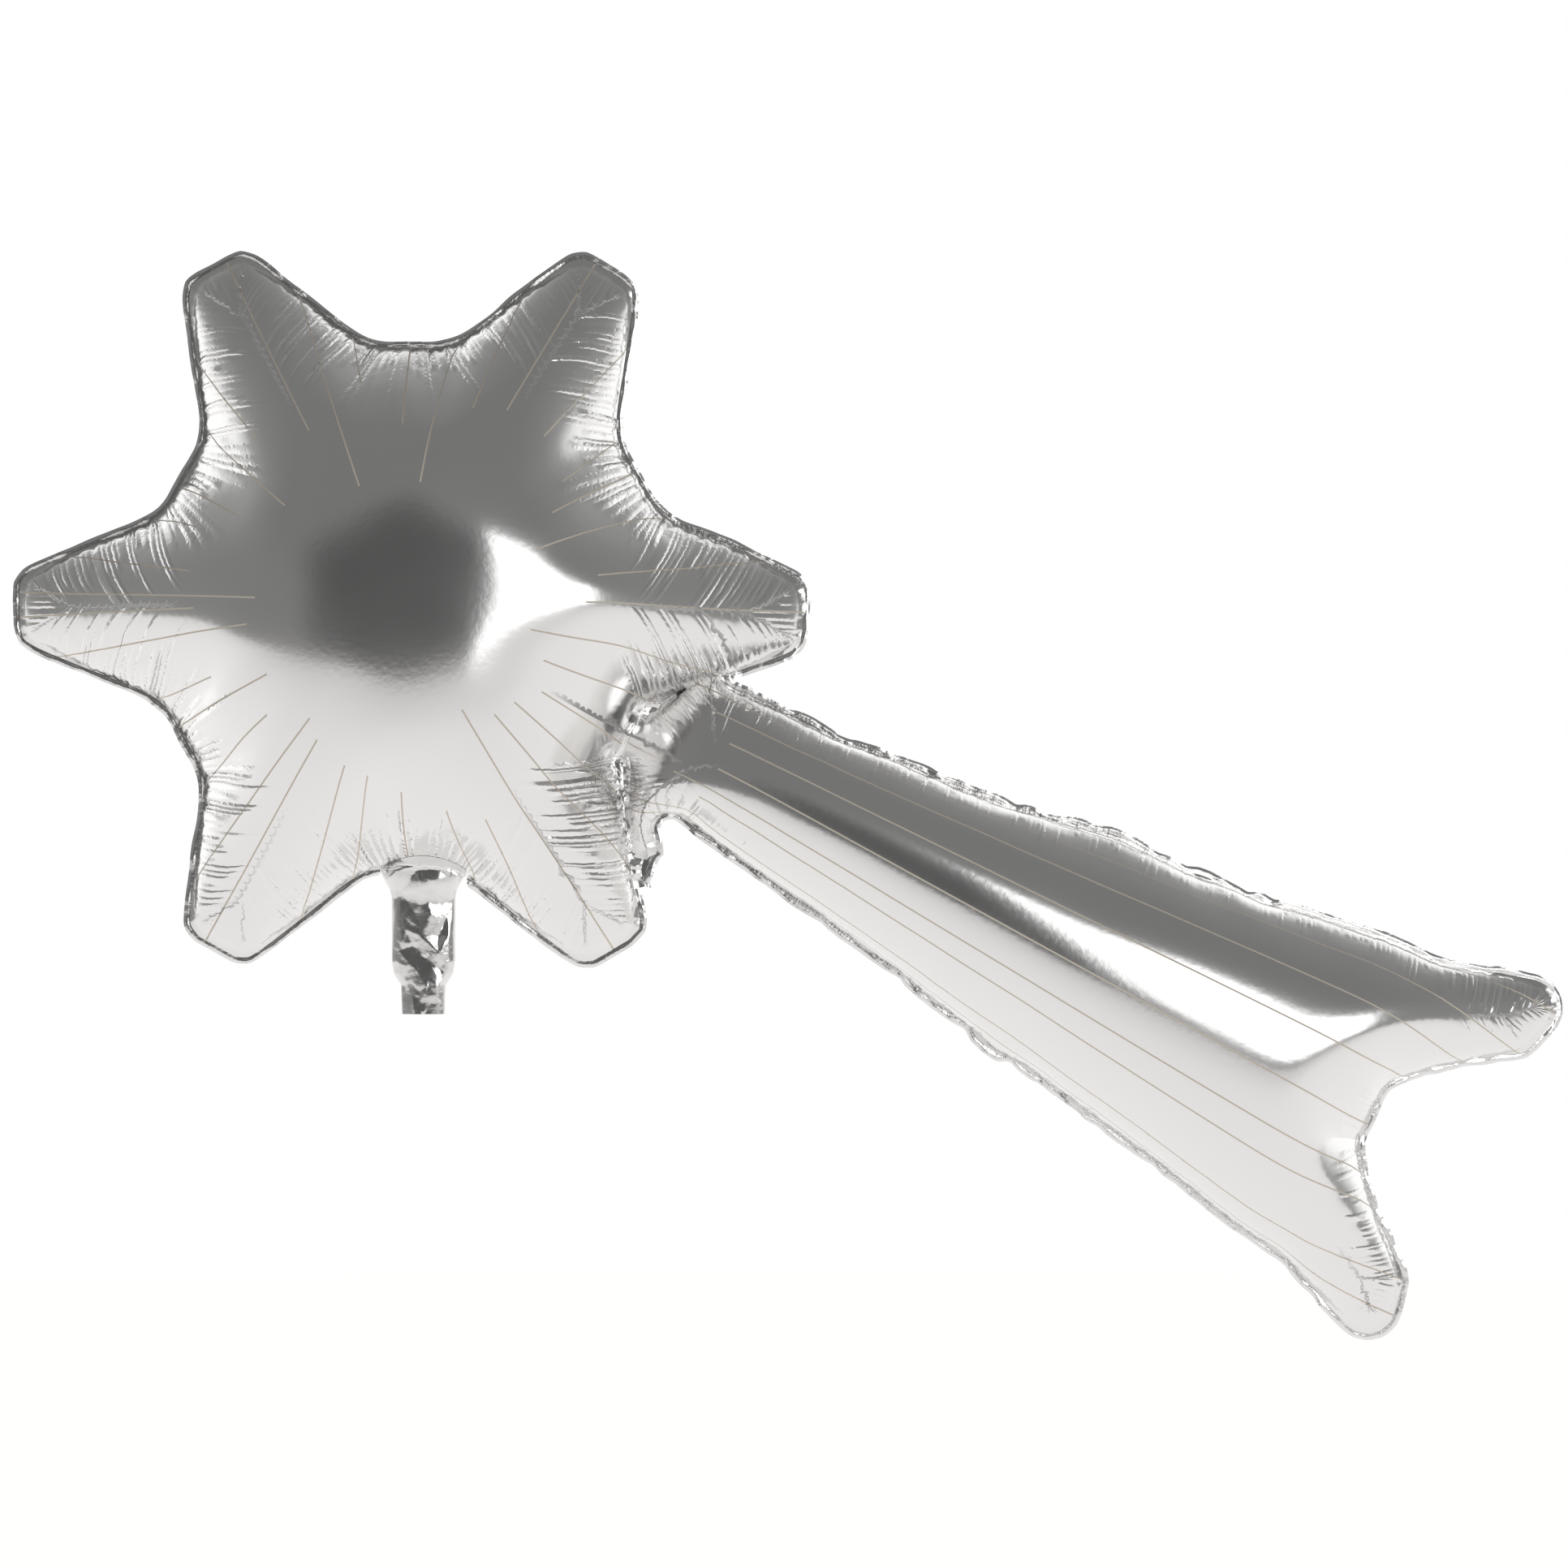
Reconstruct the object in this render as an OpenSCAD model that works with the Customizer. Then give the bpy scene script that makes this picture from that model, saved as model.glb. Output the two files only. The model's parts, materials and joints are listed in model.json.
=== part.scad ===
// Foil balloon in the shape of a magic wand: a six-pointed star with a swallow-tailed streamer.
// Two flat foil sheets are welded round their edge and filled through a flat neck at the star's foot.
// Millimetres. X runs right, Z up, and the printed front faces -Y. The origin is the middle of the
// neck's throat, where the balloon is tied off and held.

/* [Star] */
// Star centre to a tip, outside the weld margin
tip_r = 257; // [230:1:300]
// Star centre to the bottom of a notch, outside the weld margin
notch_r = 168; // [150:1:190]
// Half the thickness of the blown-up star
star_half_depth = 107; // [80:1:125]
// How narrow the arms are: higher is narrower
arm_sharpness = 2; // [1.6:0.1:2.6]

/* [Streamer] */
// Angle of the streamer below the horizontal
tail_angle = 27.7; // [20:0.5:35]
// Star centre to the crease where the streamer flexes
crease_s = 232; // [222:1:260]
// Star centre to the streamer's two tips, along its axis
tail_tip_s = 775; // [640:1:900]
// Star centre to the bottom of the swallow-tail fork, along the axis
fork_s = 697; // [580:1:760]
// Half width of the streamer at the crease, inside the weld
tail_root_half = 50; // [40:1:60]
// Half width of the streamer at its tips, inside the weld
tail_end_half = 124; // [95:1:150]
// Half the thickness of the blown-up streamer
tail_half_depth = 74; // [55:1:90]
// Half the thickness of the pinch at the crease
crease_half_depth = 32; // [20:1:40]
// How far the streamer flexes to the front or back
tail_flex = 10; // [5:1:14]

/* [Neck] */
// Width of the flat neck at the throat
neck_w = 40; // [34:1:48]
// Width of the neck at its open mouth
mouth_w = 28; // [24:1:40]
// Throat to mouth
neck_len = 82; // [60:1:110]
// Width of the flared root where the neck leaves the star
neck_root_w = 58; // [50:1:70]
// Throat to the star's weld line at the bottom notch
throat_to_weld = 16; // [12:1:22]
// Half the clear gap inside the neck
neck_half_gap = 3.6; // [3.2:0.1:4.5]
// Star centre to the neck's centre line, to the right
neck_offset = 8; // [0:1:12]

/* [Valve] */
// Width of the two valve films
valve_w = 26; // [22:1:32]
// How far the valve films reach up inside the star
valve_flap_len = 46; // [30:1:60]
// How far the valve films reach down into the neck
valve_sleeve_len = 62; // [40:1:75]
// Thickness of a valve film
valve_film = 0.3; // [0.2:0.05:0.5]
// Gap between the two closed valve films
valve_gap = 0.6; // [0.4:0.1:1]

/* [Foil and welds] */
// Wall of the foil panels
foil_wall = 0.6; // [0.4:0.1:1]
// Width of the weld margin round the balloon
weld_w = 6; // [4:0.5:9]
// Thickness of the two foils welded together
weld_t = 1.2; // [0.8:0.1:2]
// Half the length of the gas passage between the two welds at the streamer's root
passage_half = 16; // [10:1:22]
// Half the height of that passage
passage_lift = 12; // [6:1:16]
// Width of the neck's side welds
neck_weld_w = 3; // [2:0.5:5]
// Clearance between pieces of one body
piece_gap = 0.2; // [0.1:0.05:0.4]
// Gap between the star's welds and the foil of the neck's root and the streamer's root
seat_gap = 0.6; // [0.5:0.1:1]
// Clearance across a joint
joint_gap = 0.5; // [0.4:0.1:1]

/* [Hidden] */
arm_pitch = 60;
tail_notch = -30;
neck_notch = -90;
weld_tip_r = tip_r - weld_w;
weld_notch_r = notch_r - weld_w;
star_x = -neck_offset;
star_z = throat_to_weld + weld_notch_r;

arm_steps = 16;
rings = 7;
tail_rows = 14;
tail_cols = 20;
root_rows = 6;
root_cols = 16;
neck_rows = 8;
neck_cols = 10;
arm_dome = [2.2, 0.95];
notch_dome = [3.6, 0.62];
flare_power = 1.25;
fork_power = 3;
fork_reach = 0.72;
tip_round = 26;
root_weld_angle = 19;
weld_split = 0.1;
throat_half = 1.4;
throat_gap = norm([throat_half + foil_wall, joint_gap]) + 0.3;
fork_bow = 16;
prong_bow = 6;
neck_root_margin = 0.5;

neck_root_angle = asin(neck_root_w / 2 / weld_notch_r);
neck_cut_angle = neck_root_angle + neck_root_margin;
passage_angle = asin(passage_half / weld_notch_r);
tail_len = tail_tip_s - crease_s;

// ---- faces of thin walls ----

// Two triangles of a quad whose corners run clockwise seen from outside.
function quad(a, b, c, d) = [[a, b, c], [a, c, d]];

// A thin wall between two equal grids of points. Rows run along it and columns across it.
module sheet(outer, inner) {
    rows = len(outer);
    cols = len(outer[0]);
    n = rows * cols;
    points = concat([for (row = outer) each row], [for (row = inner) each row]);
    faces = concat(
        [for (r = [0:rows - 2]) for (c = [0:cols - 2])
            let (k = r * cols + c) each quad(k, k + 1, k + cols + 1, k + cols)],
        [for (r = [0:rows - 2]) for (c = [0:cols - 2])
            let (k = n + r * cols + c) each quad(k, k + cols, k + cols + 1, k + 1)],
        [for (c = [0:cols - 2]) each quad(c, n + c, n + c + 1, c + 1)],
        [for (c = [0:cols - 2])
            let (k = (rows - 1) * cols + c) each quad(k, k + 1, n + k + 1, n + k)],
        [for (r = [0:rows - 2])
            let (k = r * cols) each quad(k, k + cols, n + k + cols, n + k)],
        [for (r = [0:rows - 2])
            let (k = r * cols + cols - 1) each quad(k, n + k, n + k + cols, k + cols)]);
    polyhedron(points, faces);
}

// The same wall made of rings round a centre point, with ring 0 innermost.
module dished_sheet(outer, inner, outer_top, inner_top) {
    rows = len(outer);
    cols = len(outer[0]);
    n = rows * cols;
    points = concat([for (row = outer) each row], [for (row = inner) each row],
        [outer_top, inner_top]);
    faces = concat(
        [for (r = [0:rows - 2]) for (c = [0:cols - 1])
            let (k = r * cols, d = (c + 1) % cols)
                each quad(k + c, k + cols + c, k + cols + d, k + d)],
        [for (r = [0:rows - 2]) for (c = [0:cols - 1])
            let (k = n + r * cols, d = (c + 1) % cols)
                each quad(k + c, k + d, k + cols + d, k + cols + c)],
        [for (c = [0:cols - 1]) [2 * n, c, (c + 1) % cols]],
        [for (c = [0:cols - 1]) [2 * n + 1, n + (c + 1) % cols, n + c]],
        [for (c = [0:cols - 1])
            let (k = (rows - 1) * cols, d = (c + 1) % cols)
                each quad(k + c, n + k + c, n + k + d, k + d)]);
    polyhedron(points, faces);
}

// ---- star ----

// Distance from the star's centre to the weld line, at an angle from +X.
function weld_r(a) =
    weld_notch_r + (weld_tip_r - weld_notch_r) * pow((1 + cos(6 * a)) / 2, arm_sharpness);

function weld_point(a) = weld_r(a) * [cos(a), sin(a)];

// Direction across the weld line, away from the star.
function weld_out(a) =
    let (d = weld_point(a + 0.5) - weld_point(a - 0.5)) [d[1], -d[0]] / norm(d);

function margin_point(a, w) = weld_point(a) + w * weld_out(a);

// Angles round the star, closer together at the tips, starting from the notch below the right arm.
function arm_angle(i) =
    let (arm = floor(i / arm_steps), u = (i / arm_steps - arm) * 2 - 1)
        arm_pitch * arm + arm_pitch / 2 * pow(abs(u), 1.35) * sign(u);

// Where the weld's pieces end, in rising order round the star.
weld_ends = [tail_notch + passage_angle, tail_notch + root_weld_angle,
    neck_notch + 360 - neck_cut_angle, neck_notch + 360 + neck_cut_angle,
    tail_notch + 360 - root_weld_angle, tail_notch + 360 - passage_angle];

function clear_of_ends(a) = min([for (e = weld_ends) abs(e - a)]) > 0.8;

// The angles that the panels and the welds share: those of the arms, and the ends of the welds.
star_angles = [for (i = [0:6 * arm_steps - 1])
    let (a = arm_angle(i), b = arm_angle(i + 1))
        each concat(clear_of_ends(a) ? [a] : [], [for (e = weld_ends) if (e > a && e <= b) e])];

// 1 in the middle of an opening in the weld, falling to 0 at its ends.
function opening(a, centre, half) =
    let (d = abs((a - centre + 540) % 360 - 180) / half) d >= 1 ? 0 : sqrt(1 - d * d);

function neck_open(a) = opening(a, neck_notch, neck_cut_angle);
function tail_open(a) = opening(a, tail_notch, passage_angle);

// Height of the foil off the middle plane at the weld line, where an opening parts the foils.
function rim_lift(a) = neck_half_gap * neck_open(a) + passage_lift * tail_open(a);

// The dome's height, as a share of the depth. It falls off later and more steeply towards a notch.
function domed(a, rho) =
    let (shape = arm_dome + (notch_dome - arm_dome) * (1 - cos(6 * a)) / 2)
        pow(max(0, 1 - pow(rho, shape[0])), shape[1]);

// One point of the star's foil. skin is 0 on the outside and 1 on the inside.
function star_point(a, rho, skin) =
    let (parted = max(neck_open(a), tail_open(a)),
         r = (weld_r(a) - skin * foil_wall * (1 - parted)) * rho,
         lift = rim_lift(a) * pow(rho, 3) + (1 - skin) * foil_wall * parted * pow(rho, 3),
         depth = star_half_depth - skin * foil_wall)
        [r * cos(a), -(lift + depth * domed(a, rho)), r * sin(a)];

module star_panel() {
    reach = [for (k = [1:rings]) sin(90 * k / rings)];
    translate([star_x, 0, star_z])
        dished_sheet(
            [for (rho = reach) [for (a = star_angles) star_point(a, rho, 0)]],
            [for (rho = reach) [for (a = star_angles) star_point(a, rho, 1)]],
            star_point(0, 0, 0), star_point(0, 0, 1));
}

module star_front_panel() {
    color("silver") star_panel();
}

module star_back_panel() {
    color("silver") mirror([0, 1, 0]) star_panel();
}

function backwards(list) = [for (k = [len(list) - 1:-1:0]) list[k]];

// A flat band of weld margin on the middle plane, between an inner and an outer line.
module margin(inner, outer) {
    translate([0, weld_t / 2, 0]) rotate([90, 0, 0]) linear_extrude(weld_t)
        polygon(concat(inner, backwards(outer)));
}

// The margin along the star's weld line, from one angle to another.
module star_margin(from, to) {
    angles = concat(from, [for (a = star_angles) if (a > from && a < to) a], to);
    translate([star_x, 0, star_z])
        margin([for (a = angles) weld_point(a)], [for (a = angles) margin_point(a, weld_w)]);
}

module star_weld_seam() {
    color("darkgray") {
        star_margin(weld_ends[1], weld_ends[2]);
        star_margin(weld_ends[3], weld_ends[4]);
    }
}

module notch_weld_upper() {
    color("darkgray") star_margin(weld_ends[0], weld_ends[1] - weld_split);
}

module notch_weld_lower() {
    color("darkgray") star_margin(weld_ends[4] + weld_split, weld_ends[5]);
}

// ---- streamer ----

// Everything of the streamer is drawn along +X from the star's centre and then turned into place.
module along_tail() {
    translate([star_x, 0, star_z]) rotate([0, tail_angle, 0]) children();
}

// Half width inside the weld, at a distance from the star's centre.
function tail_half(s) =
    tail_root_half + (tail_end_half - tail_root_half)
        * pow(max(0, min(1, (s - crease_s) / tail_len)), flare_power);

// Where the streamer ends, at a share j of its half width: the fork's curve and the tips' round corners.
function tail_end(j) =
    let (q = min(1, abs(j) / fork_reach), corner = max(0, (abs(j) - 0.8) / 0.2))
        fork_s + (tail_tip_s - weld_w - fork_s) * pow(sin(90 * q), fork_power)
            - tip_round * (1 - sqrt(1 - 0.999 * corner * corner));

// Half depth of the streamer along v. It closes steeply at the fork and more gently in the prongs.
function tail_depth(j, v, depth) =
    let (swell = sin(90 * min(1, v / 0.8)), bow = fork_bow + (prong_bow - fork_bow) * abs(j))
        (crease_half_depth + (depth - crease_half_depth) * swell) * pow(1 - pow(v, bow), 0.6);

// One point of the streamer's foil: v runs from the crease to the end and j from edge to edge.
function tail_point(j, v, skin) =
    let (rim = sqrt(max(0, 1 - j * j)),
         depth = tail_half_depth - skin * foil_wall,
         y = max(0, tail_depth(j, v, depth) * rim - (v == 0 ? skin * foil_wall : 0)),
         start = crease_s + joint_gap + y * tan(tail_flex),
         s = start + (tail_end(j) - skin * foil_wall - start) * v)
        [s, -y, j * (tail_half(s) - skin * foil_wall)];

module tail_panel() {
    rows = [for (k = [0:tail_rows]) sin(90 * k / tail_rows)];
    cols = [for (k = [0:tail_cols]) -cos(180 * k / tail_cols)];
    along_tail()
        sheet(
            [for (v = rows) [for (j = cols) tail_point(j, v, 0)]],
            [for (v = rows) [for (j = cols) tail_point(j, v, 1)]]);
}

module tail_front_panel() {
    color("silver") tail_panel();
}

module tail_back_panel() {
    color("silver") mirror([0, 1, 0]) tail_panel();
}

// The streamer's outline on the middle plane, from the crease's upper end round to its lower end.
function tail_outline() =
    let (edge = [for (k = [0:tail_rows]) tail_point(1, sin(90 * k / tail_rows), 0)],
         fork = [for (k = [1:tail_cols - 1]) tail_point(cos(180 * k / tail_cols), 1, 0)],
         lower = [for (p = backwards(edge)) [p[0], p[1], -p[2]]])
        [for (p = concat(edge, fork, lower)) [p[0], p[2]]];

// The same points moved outwards, across the line through their neighbours.
function spread(line, w) =
    [for (k = [0:len(line) - 1])
        let (d = line[min(k + 1, len(line) - 1)] - line[max(k - 1, 0)])
            line[k] + w * [-d[1], d[0]] / norm(d)];

module tail_weld_seam() {
    line = tail_outline();
    color("darkgray") along_tail()
        intersection() {
            margin(line, spread(line, weld_w));
            translate([crease_s + joint_gap, -weld_t, -tail_end_half * 2])
                cube([tail_len * 2, weld_t * 2, tail_end_half * 4]);
        }
}

// ---- streamer's root, between the two notch welds and the crease ----

// Turns a point beside the star into the streamer's own directions.
function in_tail(p) =
    [p[0] * cos(tail_angle) - p[1] * sin(tail_angle), p[0] * sin(tail_angle) + p[1] * cos(tail_angle)];

// One point of the root's foil: v runs from the notch to the crease and j from edge to edge.
function root_point(j, v, skin) =
    let (a = tail_notch + j * root_weld_angle,
         parted = tail_open(a),
         inner = in_tail(margin_point(a, seat_gap + weld_w * (1 - parted) + skin * foil_wall * (1 - parted))),
         crease = [crease_s - joint_gap, j * (tail_root_half - skin * foil_wall)],
         p = inner + (crease - inner) * v,
         rim = sqrt(max(0, 1 - j * j)),
         swell = (crease_half_depth - skin * foil_wall) * rim * pow(sin(90 * v), 0.6),
         notch = (passage_lift + (1 - skin) * foil_wall) * parted * pow(1 - v, 2))
        [p[0], -(swell + notch), p[1]];

module root_panel() {
    rows = [for (k = [0:root_rows]) 1 - cos(90 * k / root_rows)];
    cols = [for (k = [0:root_cols]) -cos(180 * k / root_cols)];
    along_tail()
        sheet(
            [for (v = rows) [for (j = cols) root_point(j, v, 0)]],
            [for (v = rows) [for (j = cols) root_point(j, v, 1)]]);
}

module tail_root_front_panel() {
    color("silver") root_panel();
}

module tail_root_back_panel() {
    color("silver") mirror([0, 1, 0]) root_panel();
}

// The root's two free edges have a weld margin of their own, which stops at the star's margin.
module tail_root_weld_seam() {
    angles = [for (i = [-arm_steps / 2:arm_steps * 3 / 2]) arm_angle(i)];
    star_edge = [for (a = angles) in_tail(margin_point(a, weld_w + piece_gap))];
    color("darkgray") along_tail()
        difference() {
            for (side = [-1, 1]) {
                near = root_point(side, 0, 0);
                far = root_point(side, 1, 0);
                line = [[near[0], near[2]], [far[0], far[2]]];
                margin(line, spread(line, side * weld_w));
            }
            translate([0, weld_t, 0]) rotate([90, 0, 0]) linear_extrude(weld_t * 2)
                polygon(concat([[0, 0]], star_edge));
            translate([crease_s - joint_gap, -weld_t, -tail_end_half])
                cube([weld_w * 2, weld_t * 2, tail_end_half * 2]);
        }
}

// ---- neck ----

// A lens-shaped half tube: width and half gap change along it, and the foil lies outside the gap.
function neck_wall_point(u, half_w, half_gap, z, skin) =
    [u * (half_w - skin * foil_wall / 2), -(half_gap + (1 - skin) * foil_wall) * sqrt(max(0, 1 - u * u)), z];

function neck_share(k) = k / neck_rows;
neck_across = [for (k = [0:neck_cols]) -cos(180 * k / neck_cols)];

// The flared root runs from the star's weld line down to the throat.
function neck_root_point(u, t, skin) =
    let (a = neck_notch + u * neck_root_angle,
         top = weld_point(a) + [star_x, star_z],
         p = neck_wall_point(u, neck_w / 2, throat_half, throat_gap, skin),
         lift = (neck_half_gap + (1 - skin) * foil_wall) * sqrt(max(0, 1 - u * u)))
        [top[0] + (p[0] - top[0]) * t, -lift + (p[1] + lift) * t, top[1] - seat_gap
            + (p[2] - top[1] + seat_gap) * t];

module neck_root() {
    sheet(
        [for (k = [0:neck_rows]) [for (u = neck_across) neck_root_point(u, neck_share(k), 0)]],
        [for (k = [0:neck_rows]) [for (u = neck_across) neck_root_point(u, neck_share(k), 1)]]);
}

module neck_root_front() {
    color("gainsboro") neck_root();
}

module neck_root_back() {
    color("gainsboro") mirror([0, 1, 0]) neck_root();
}

function neck_half_w(t) = (neck_w + (mouth_w - neck_w) * pow(t, 1.5)) / 2;
function neck_gap_at(t) = throat_half + (neck_half_gap - throat_half) * sin(90 * min(1, t * 5));
function neck_z(t) = -joint_gap - (neck_len - joint_gap) * t;

function neck_point(u, t, skin) = neck_wall_point(u, neck_half_w(t), neck_gap_at(t), neck_z(t), skin);

module neck_foil() {
    sheet(
        [for (k = [0:neck_rows]) [for (u = neck_across) neck_point(u, neck_share(k), 0)]],
        [for (k = [0:neck_rows]) [for (u = neck_across) neck_point(u, neck_share(k), 1)]]);
}

module neck_front_foil() {
    color("gainsboro") neck_foil();
}

module neck_back_foil() {
    color("gainsboro") mirror([0, 1, 0]) neck_foil();
}

module neck_side_welds() {
    shares = [for (k = [0:neck_rows]) neck_share(k)];
    color("darkgray")
        for (side = [-1, 1])
            margin([for (t = shares) [side * neck_half_w(t), neck_z(t)]],
                [for (t = shares) [side * (neck_half_w(t) + neck_weld_w), neck_z(t)]]);
}

// ---- valve: two thin films inside the neck that close by themselves inside the star ----

// The sleeve films lie against the inside of the neck's foils.
function sleeve_point(u, t, skin) =
    let (z_share = (0.1 * neck_len + valve_sleeve_len * t) / neck_len,
         clear_half = neck_half_w(z_share) - foil_wall,
         half_w = min(valve_w / 2, 0.8 * clear_half),
         bow = sqrt(1 - pow(u * half_w / clear_half, 2)),
         gap = neck_gap_at(z_share) - piece_gap - skin * valve_film)
        [u * half_w, -gap * bow, neck_z(z_share)];

module valve_sleeve() {
    sheet(
        [for (k = [0:neck_rows]) [for (u = neck_across) sleeve_point(u, neck_share(k), 0)]],
        [for (k = [0:neck_rows]) [for (u = neck_across) sleeve_point(u, neck_share(k), 1)]]);
}

module valve_sleeve_front() {
    color("white", 0.6) valve_sleeve();
}

module valve_sleeve_back() {
    color("white", 0.6) mirror([0, 1, 0]) valve_sleeve();
}

module valve_flap() {
    w = min(valve_w, 0.7 * neck_w);
    translate([-w / 2, -valve_gap / 2 - valve_film, throat_gap + joint_gap])
        cube([w, valve_film, valve_flap_len]);
}

module valve_flap_front() {
    color("white", 0.6) valve_flap();
}

module valve_flap_back() {
    color("white", 0.6) mirror([0, 1, 0]) valve_flap();
}

star_front_panel();
star_back_panel();
star_weld_seam();
notch_weld_upper();
notch_weld_lower();
tail_root_front_panel();
tail_root_back_panel();
tail_root_weld_seam();
tail_front_panel();
tail_back_panel();
tail_weld_seam();
neck_root_front();
neck_root_back();
neck_front_foil();
neck_back_foil();
neck_side_welds();
valve_sleeve_front();
valve_sleeve_back();
valve_flap_front();
valve_flap_back();
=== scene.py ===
# %% [markdown]
# # A magic-wand balloon in silver foil
# The wand is one air-tight bag: two foil sheets of the same cut, a six-pointed star that runs out into
# a swallow-tailed streamer, are welded together round the edge and blown up through a flat neck at the
# star's foot. Foil bends freely and doesn't stretch, and that one fact makes the whole look: domes that
# are as round as the cut allows, and pleats wherever the round shape has less room than the flat cut.
# So the cells below cut the sheets flat, blow them up with a cloth simulation, and then add the weld
# margins, the pleats, the neck, the printed lines and the studio.

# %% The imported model, as a fixed frame
import json
import math

import bmesh
import bpy
import numpy as np
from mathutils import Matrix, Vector
from mathutils.bvhtree import BVHTree
from mathutils.geometry import barycentric_transform, delaunay_2d_cdt
from mathutils.kdtree import KDTree


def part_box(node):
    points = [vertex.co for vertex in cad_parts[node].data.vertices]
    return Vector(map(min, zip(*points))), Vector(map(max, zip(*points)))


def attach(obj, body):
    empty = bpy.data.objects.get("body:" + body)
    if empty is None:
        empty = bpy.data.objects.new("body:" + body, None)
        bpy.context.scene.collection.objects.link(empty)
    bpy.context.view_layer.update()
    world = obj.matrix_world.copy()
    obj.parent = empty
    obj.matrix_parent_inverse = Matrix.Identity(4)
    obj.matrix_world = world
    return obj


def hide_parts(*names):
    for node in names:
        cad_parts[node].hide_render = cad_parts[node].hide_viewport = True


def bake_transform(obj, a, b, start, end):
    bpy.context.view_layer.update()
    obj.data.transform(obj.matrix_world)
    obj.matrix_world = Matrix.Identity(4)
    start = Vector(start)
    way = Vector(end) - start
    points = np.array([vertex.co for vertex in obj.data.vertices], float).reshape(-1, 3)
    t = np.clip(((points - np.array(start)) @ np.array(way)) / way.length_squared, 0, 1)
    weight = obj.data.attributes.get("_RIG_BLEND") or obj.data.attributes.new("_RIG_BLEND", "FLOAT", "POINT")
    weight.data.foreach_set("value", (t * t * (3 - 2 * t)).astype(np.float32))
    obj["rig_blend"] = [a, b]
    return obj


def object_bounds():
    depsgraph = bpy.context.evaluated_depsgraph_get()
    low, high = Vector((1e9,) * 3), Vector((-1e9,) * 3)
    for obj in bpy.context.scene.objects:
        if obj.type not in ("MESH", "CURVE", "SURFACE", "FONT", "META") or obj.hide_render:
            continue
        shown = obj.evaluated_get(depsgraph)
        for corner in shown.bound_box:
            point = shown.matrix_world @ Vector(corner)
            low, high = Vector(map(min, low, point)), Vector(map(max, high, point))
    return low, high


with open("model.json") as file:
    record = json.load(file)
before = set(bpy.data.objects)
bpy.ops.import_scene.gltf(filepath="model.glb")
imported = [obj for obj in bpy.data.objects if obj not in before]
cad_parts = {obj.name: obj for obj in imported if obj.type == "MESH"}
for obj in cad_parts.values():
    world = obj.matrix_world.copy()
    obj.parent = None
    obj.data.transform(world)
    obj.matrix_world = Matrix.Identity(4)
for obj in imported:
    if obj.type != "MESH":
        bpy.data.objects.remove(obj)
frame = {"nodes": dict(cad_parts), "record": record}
cad_low, cad_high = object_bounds()
cad_centre = (cad_low + cad_high) / 2
scene = bpy.context.scene
print("CAD box", [round(side, 3) for side in cad_high - cad_low])

# %% [markdown]
# ## Where the frame puts things
# Two places set the whole layout: the star's centre, which is the middle of its panel's box, and the
# crease where the streamer flexes, which is the hinge's place in the record. The line from the one to
# the other is the streamer's axis. Reading them from the frame keeps the looks tied to the design.

# %% The star's centre and the streamer's axis
panel_low, panel_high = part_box("star_front_panel")
star_centre = Vector(((panel_low.x + panel_high.x) / 2, 0, (panel_low.z + panel_high.z) / 2))
joints = {joint["name"]: joint for joint in frame["record"]["behaviour"]["joints"]}
crease = Vector(joints["tail_flex"]["pos_m"])
to_crease = crease - star_centre
STREAMER_ANGLE = math.atan2(to_crease.z, to_crease.x)
print("star centre", [round(c, 4) for c in star_centre], "crease at", round(to_crease.length, 4),
      "streamer", round(math.degrees(STREAMER_ANGLE), 2), "degrees")

# %% [markdown]
# ## The camera
# The wand is seen square on, from far enough away for a long lens, so the star and the streamer keep
# their true proportions. The lens follows from the width that the picture takes in at the balloon.

# %% Camera
CAMERA_AWAY = 4.0
PICTURE_WIDTH = 1.0046
PICTURE_LIFT = 0.0052
camera_data = bpy.data.cameras.new("camera")
camera_data.sensor_width = 36
camera_data.lens = camera_data.sensor_width * CAMERA_AWAY / PICTURE_WIDTH
camera = bpy.data.objects.new("camera", camera_data)
scene.collection.objects.link(camera)
camera.location = (cad_centre.x, -CAMERA_AWAY, cad_centre.z + PICTURE_LIFT)
camera.rotation_euler = (math.radians(90), 0, 0)
scene.camera = camera
print("lens", round(camera_data.lens), "mm")

# %% [markdown]
# ## The flat cut
# A blown-up foil bag is smaller than its cut, because the rounding draws the edge in, and most of all
# at the notches. The sizes below are those of the flat cut, inside the weld, found by blowing up trial
# cuts until the blown shape filled the design's outline. The star's notch at the streamer is closed by
# two short welds with a gas passage between them. In the cut each weld is a narrow slit.
# The outline is written as runs of corners, each with a radius, so that every run can be named later.

# %% Sizes of the flat cut, in metres
TIP_REACH = [0.284, 0.2797, 0.2797, 0.2797, 0.2797, 0.2854]
TIP_HALF, TIP_RADIUS = 0.020, 0.016
NOTCH_REACH, NOTCH_RADIUS = 0.2127, 0.085
CUT_ANGLE = math.radians(-28)
SLIT_WIDTH, PASSAGE_WIDTH = 0.006, 0.034
SLIT_MOUTH = 0.244
# The streamer begins at the notch's reach, and further out by this share of the distance beside its axis.
NOTCH_SLOPE = 0.286
# One side of the streamer: distance along its axis, half width there, corner radius.
STREAMER_SIDE = [(0.262, 0.0629, 0.02), (0.530, 0.1162, 0.3), (0.760, 0.1453, 0.1), (0.8495, 0.164, 0.03),
                 (0.8495, 0.114, 0.02), (0.8127, 0.020, 0.03)]


def polar(reach, degrees):
    return np.array([reach * math.cos(math.radians(degrees)), reach * math.sin(math.radians(degrees))])


along = np.array([math.cos(CUT_ANGLE), math.sin(CUT_ANGLE)])
across = np.array([-along[1], along[0]])


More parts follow.
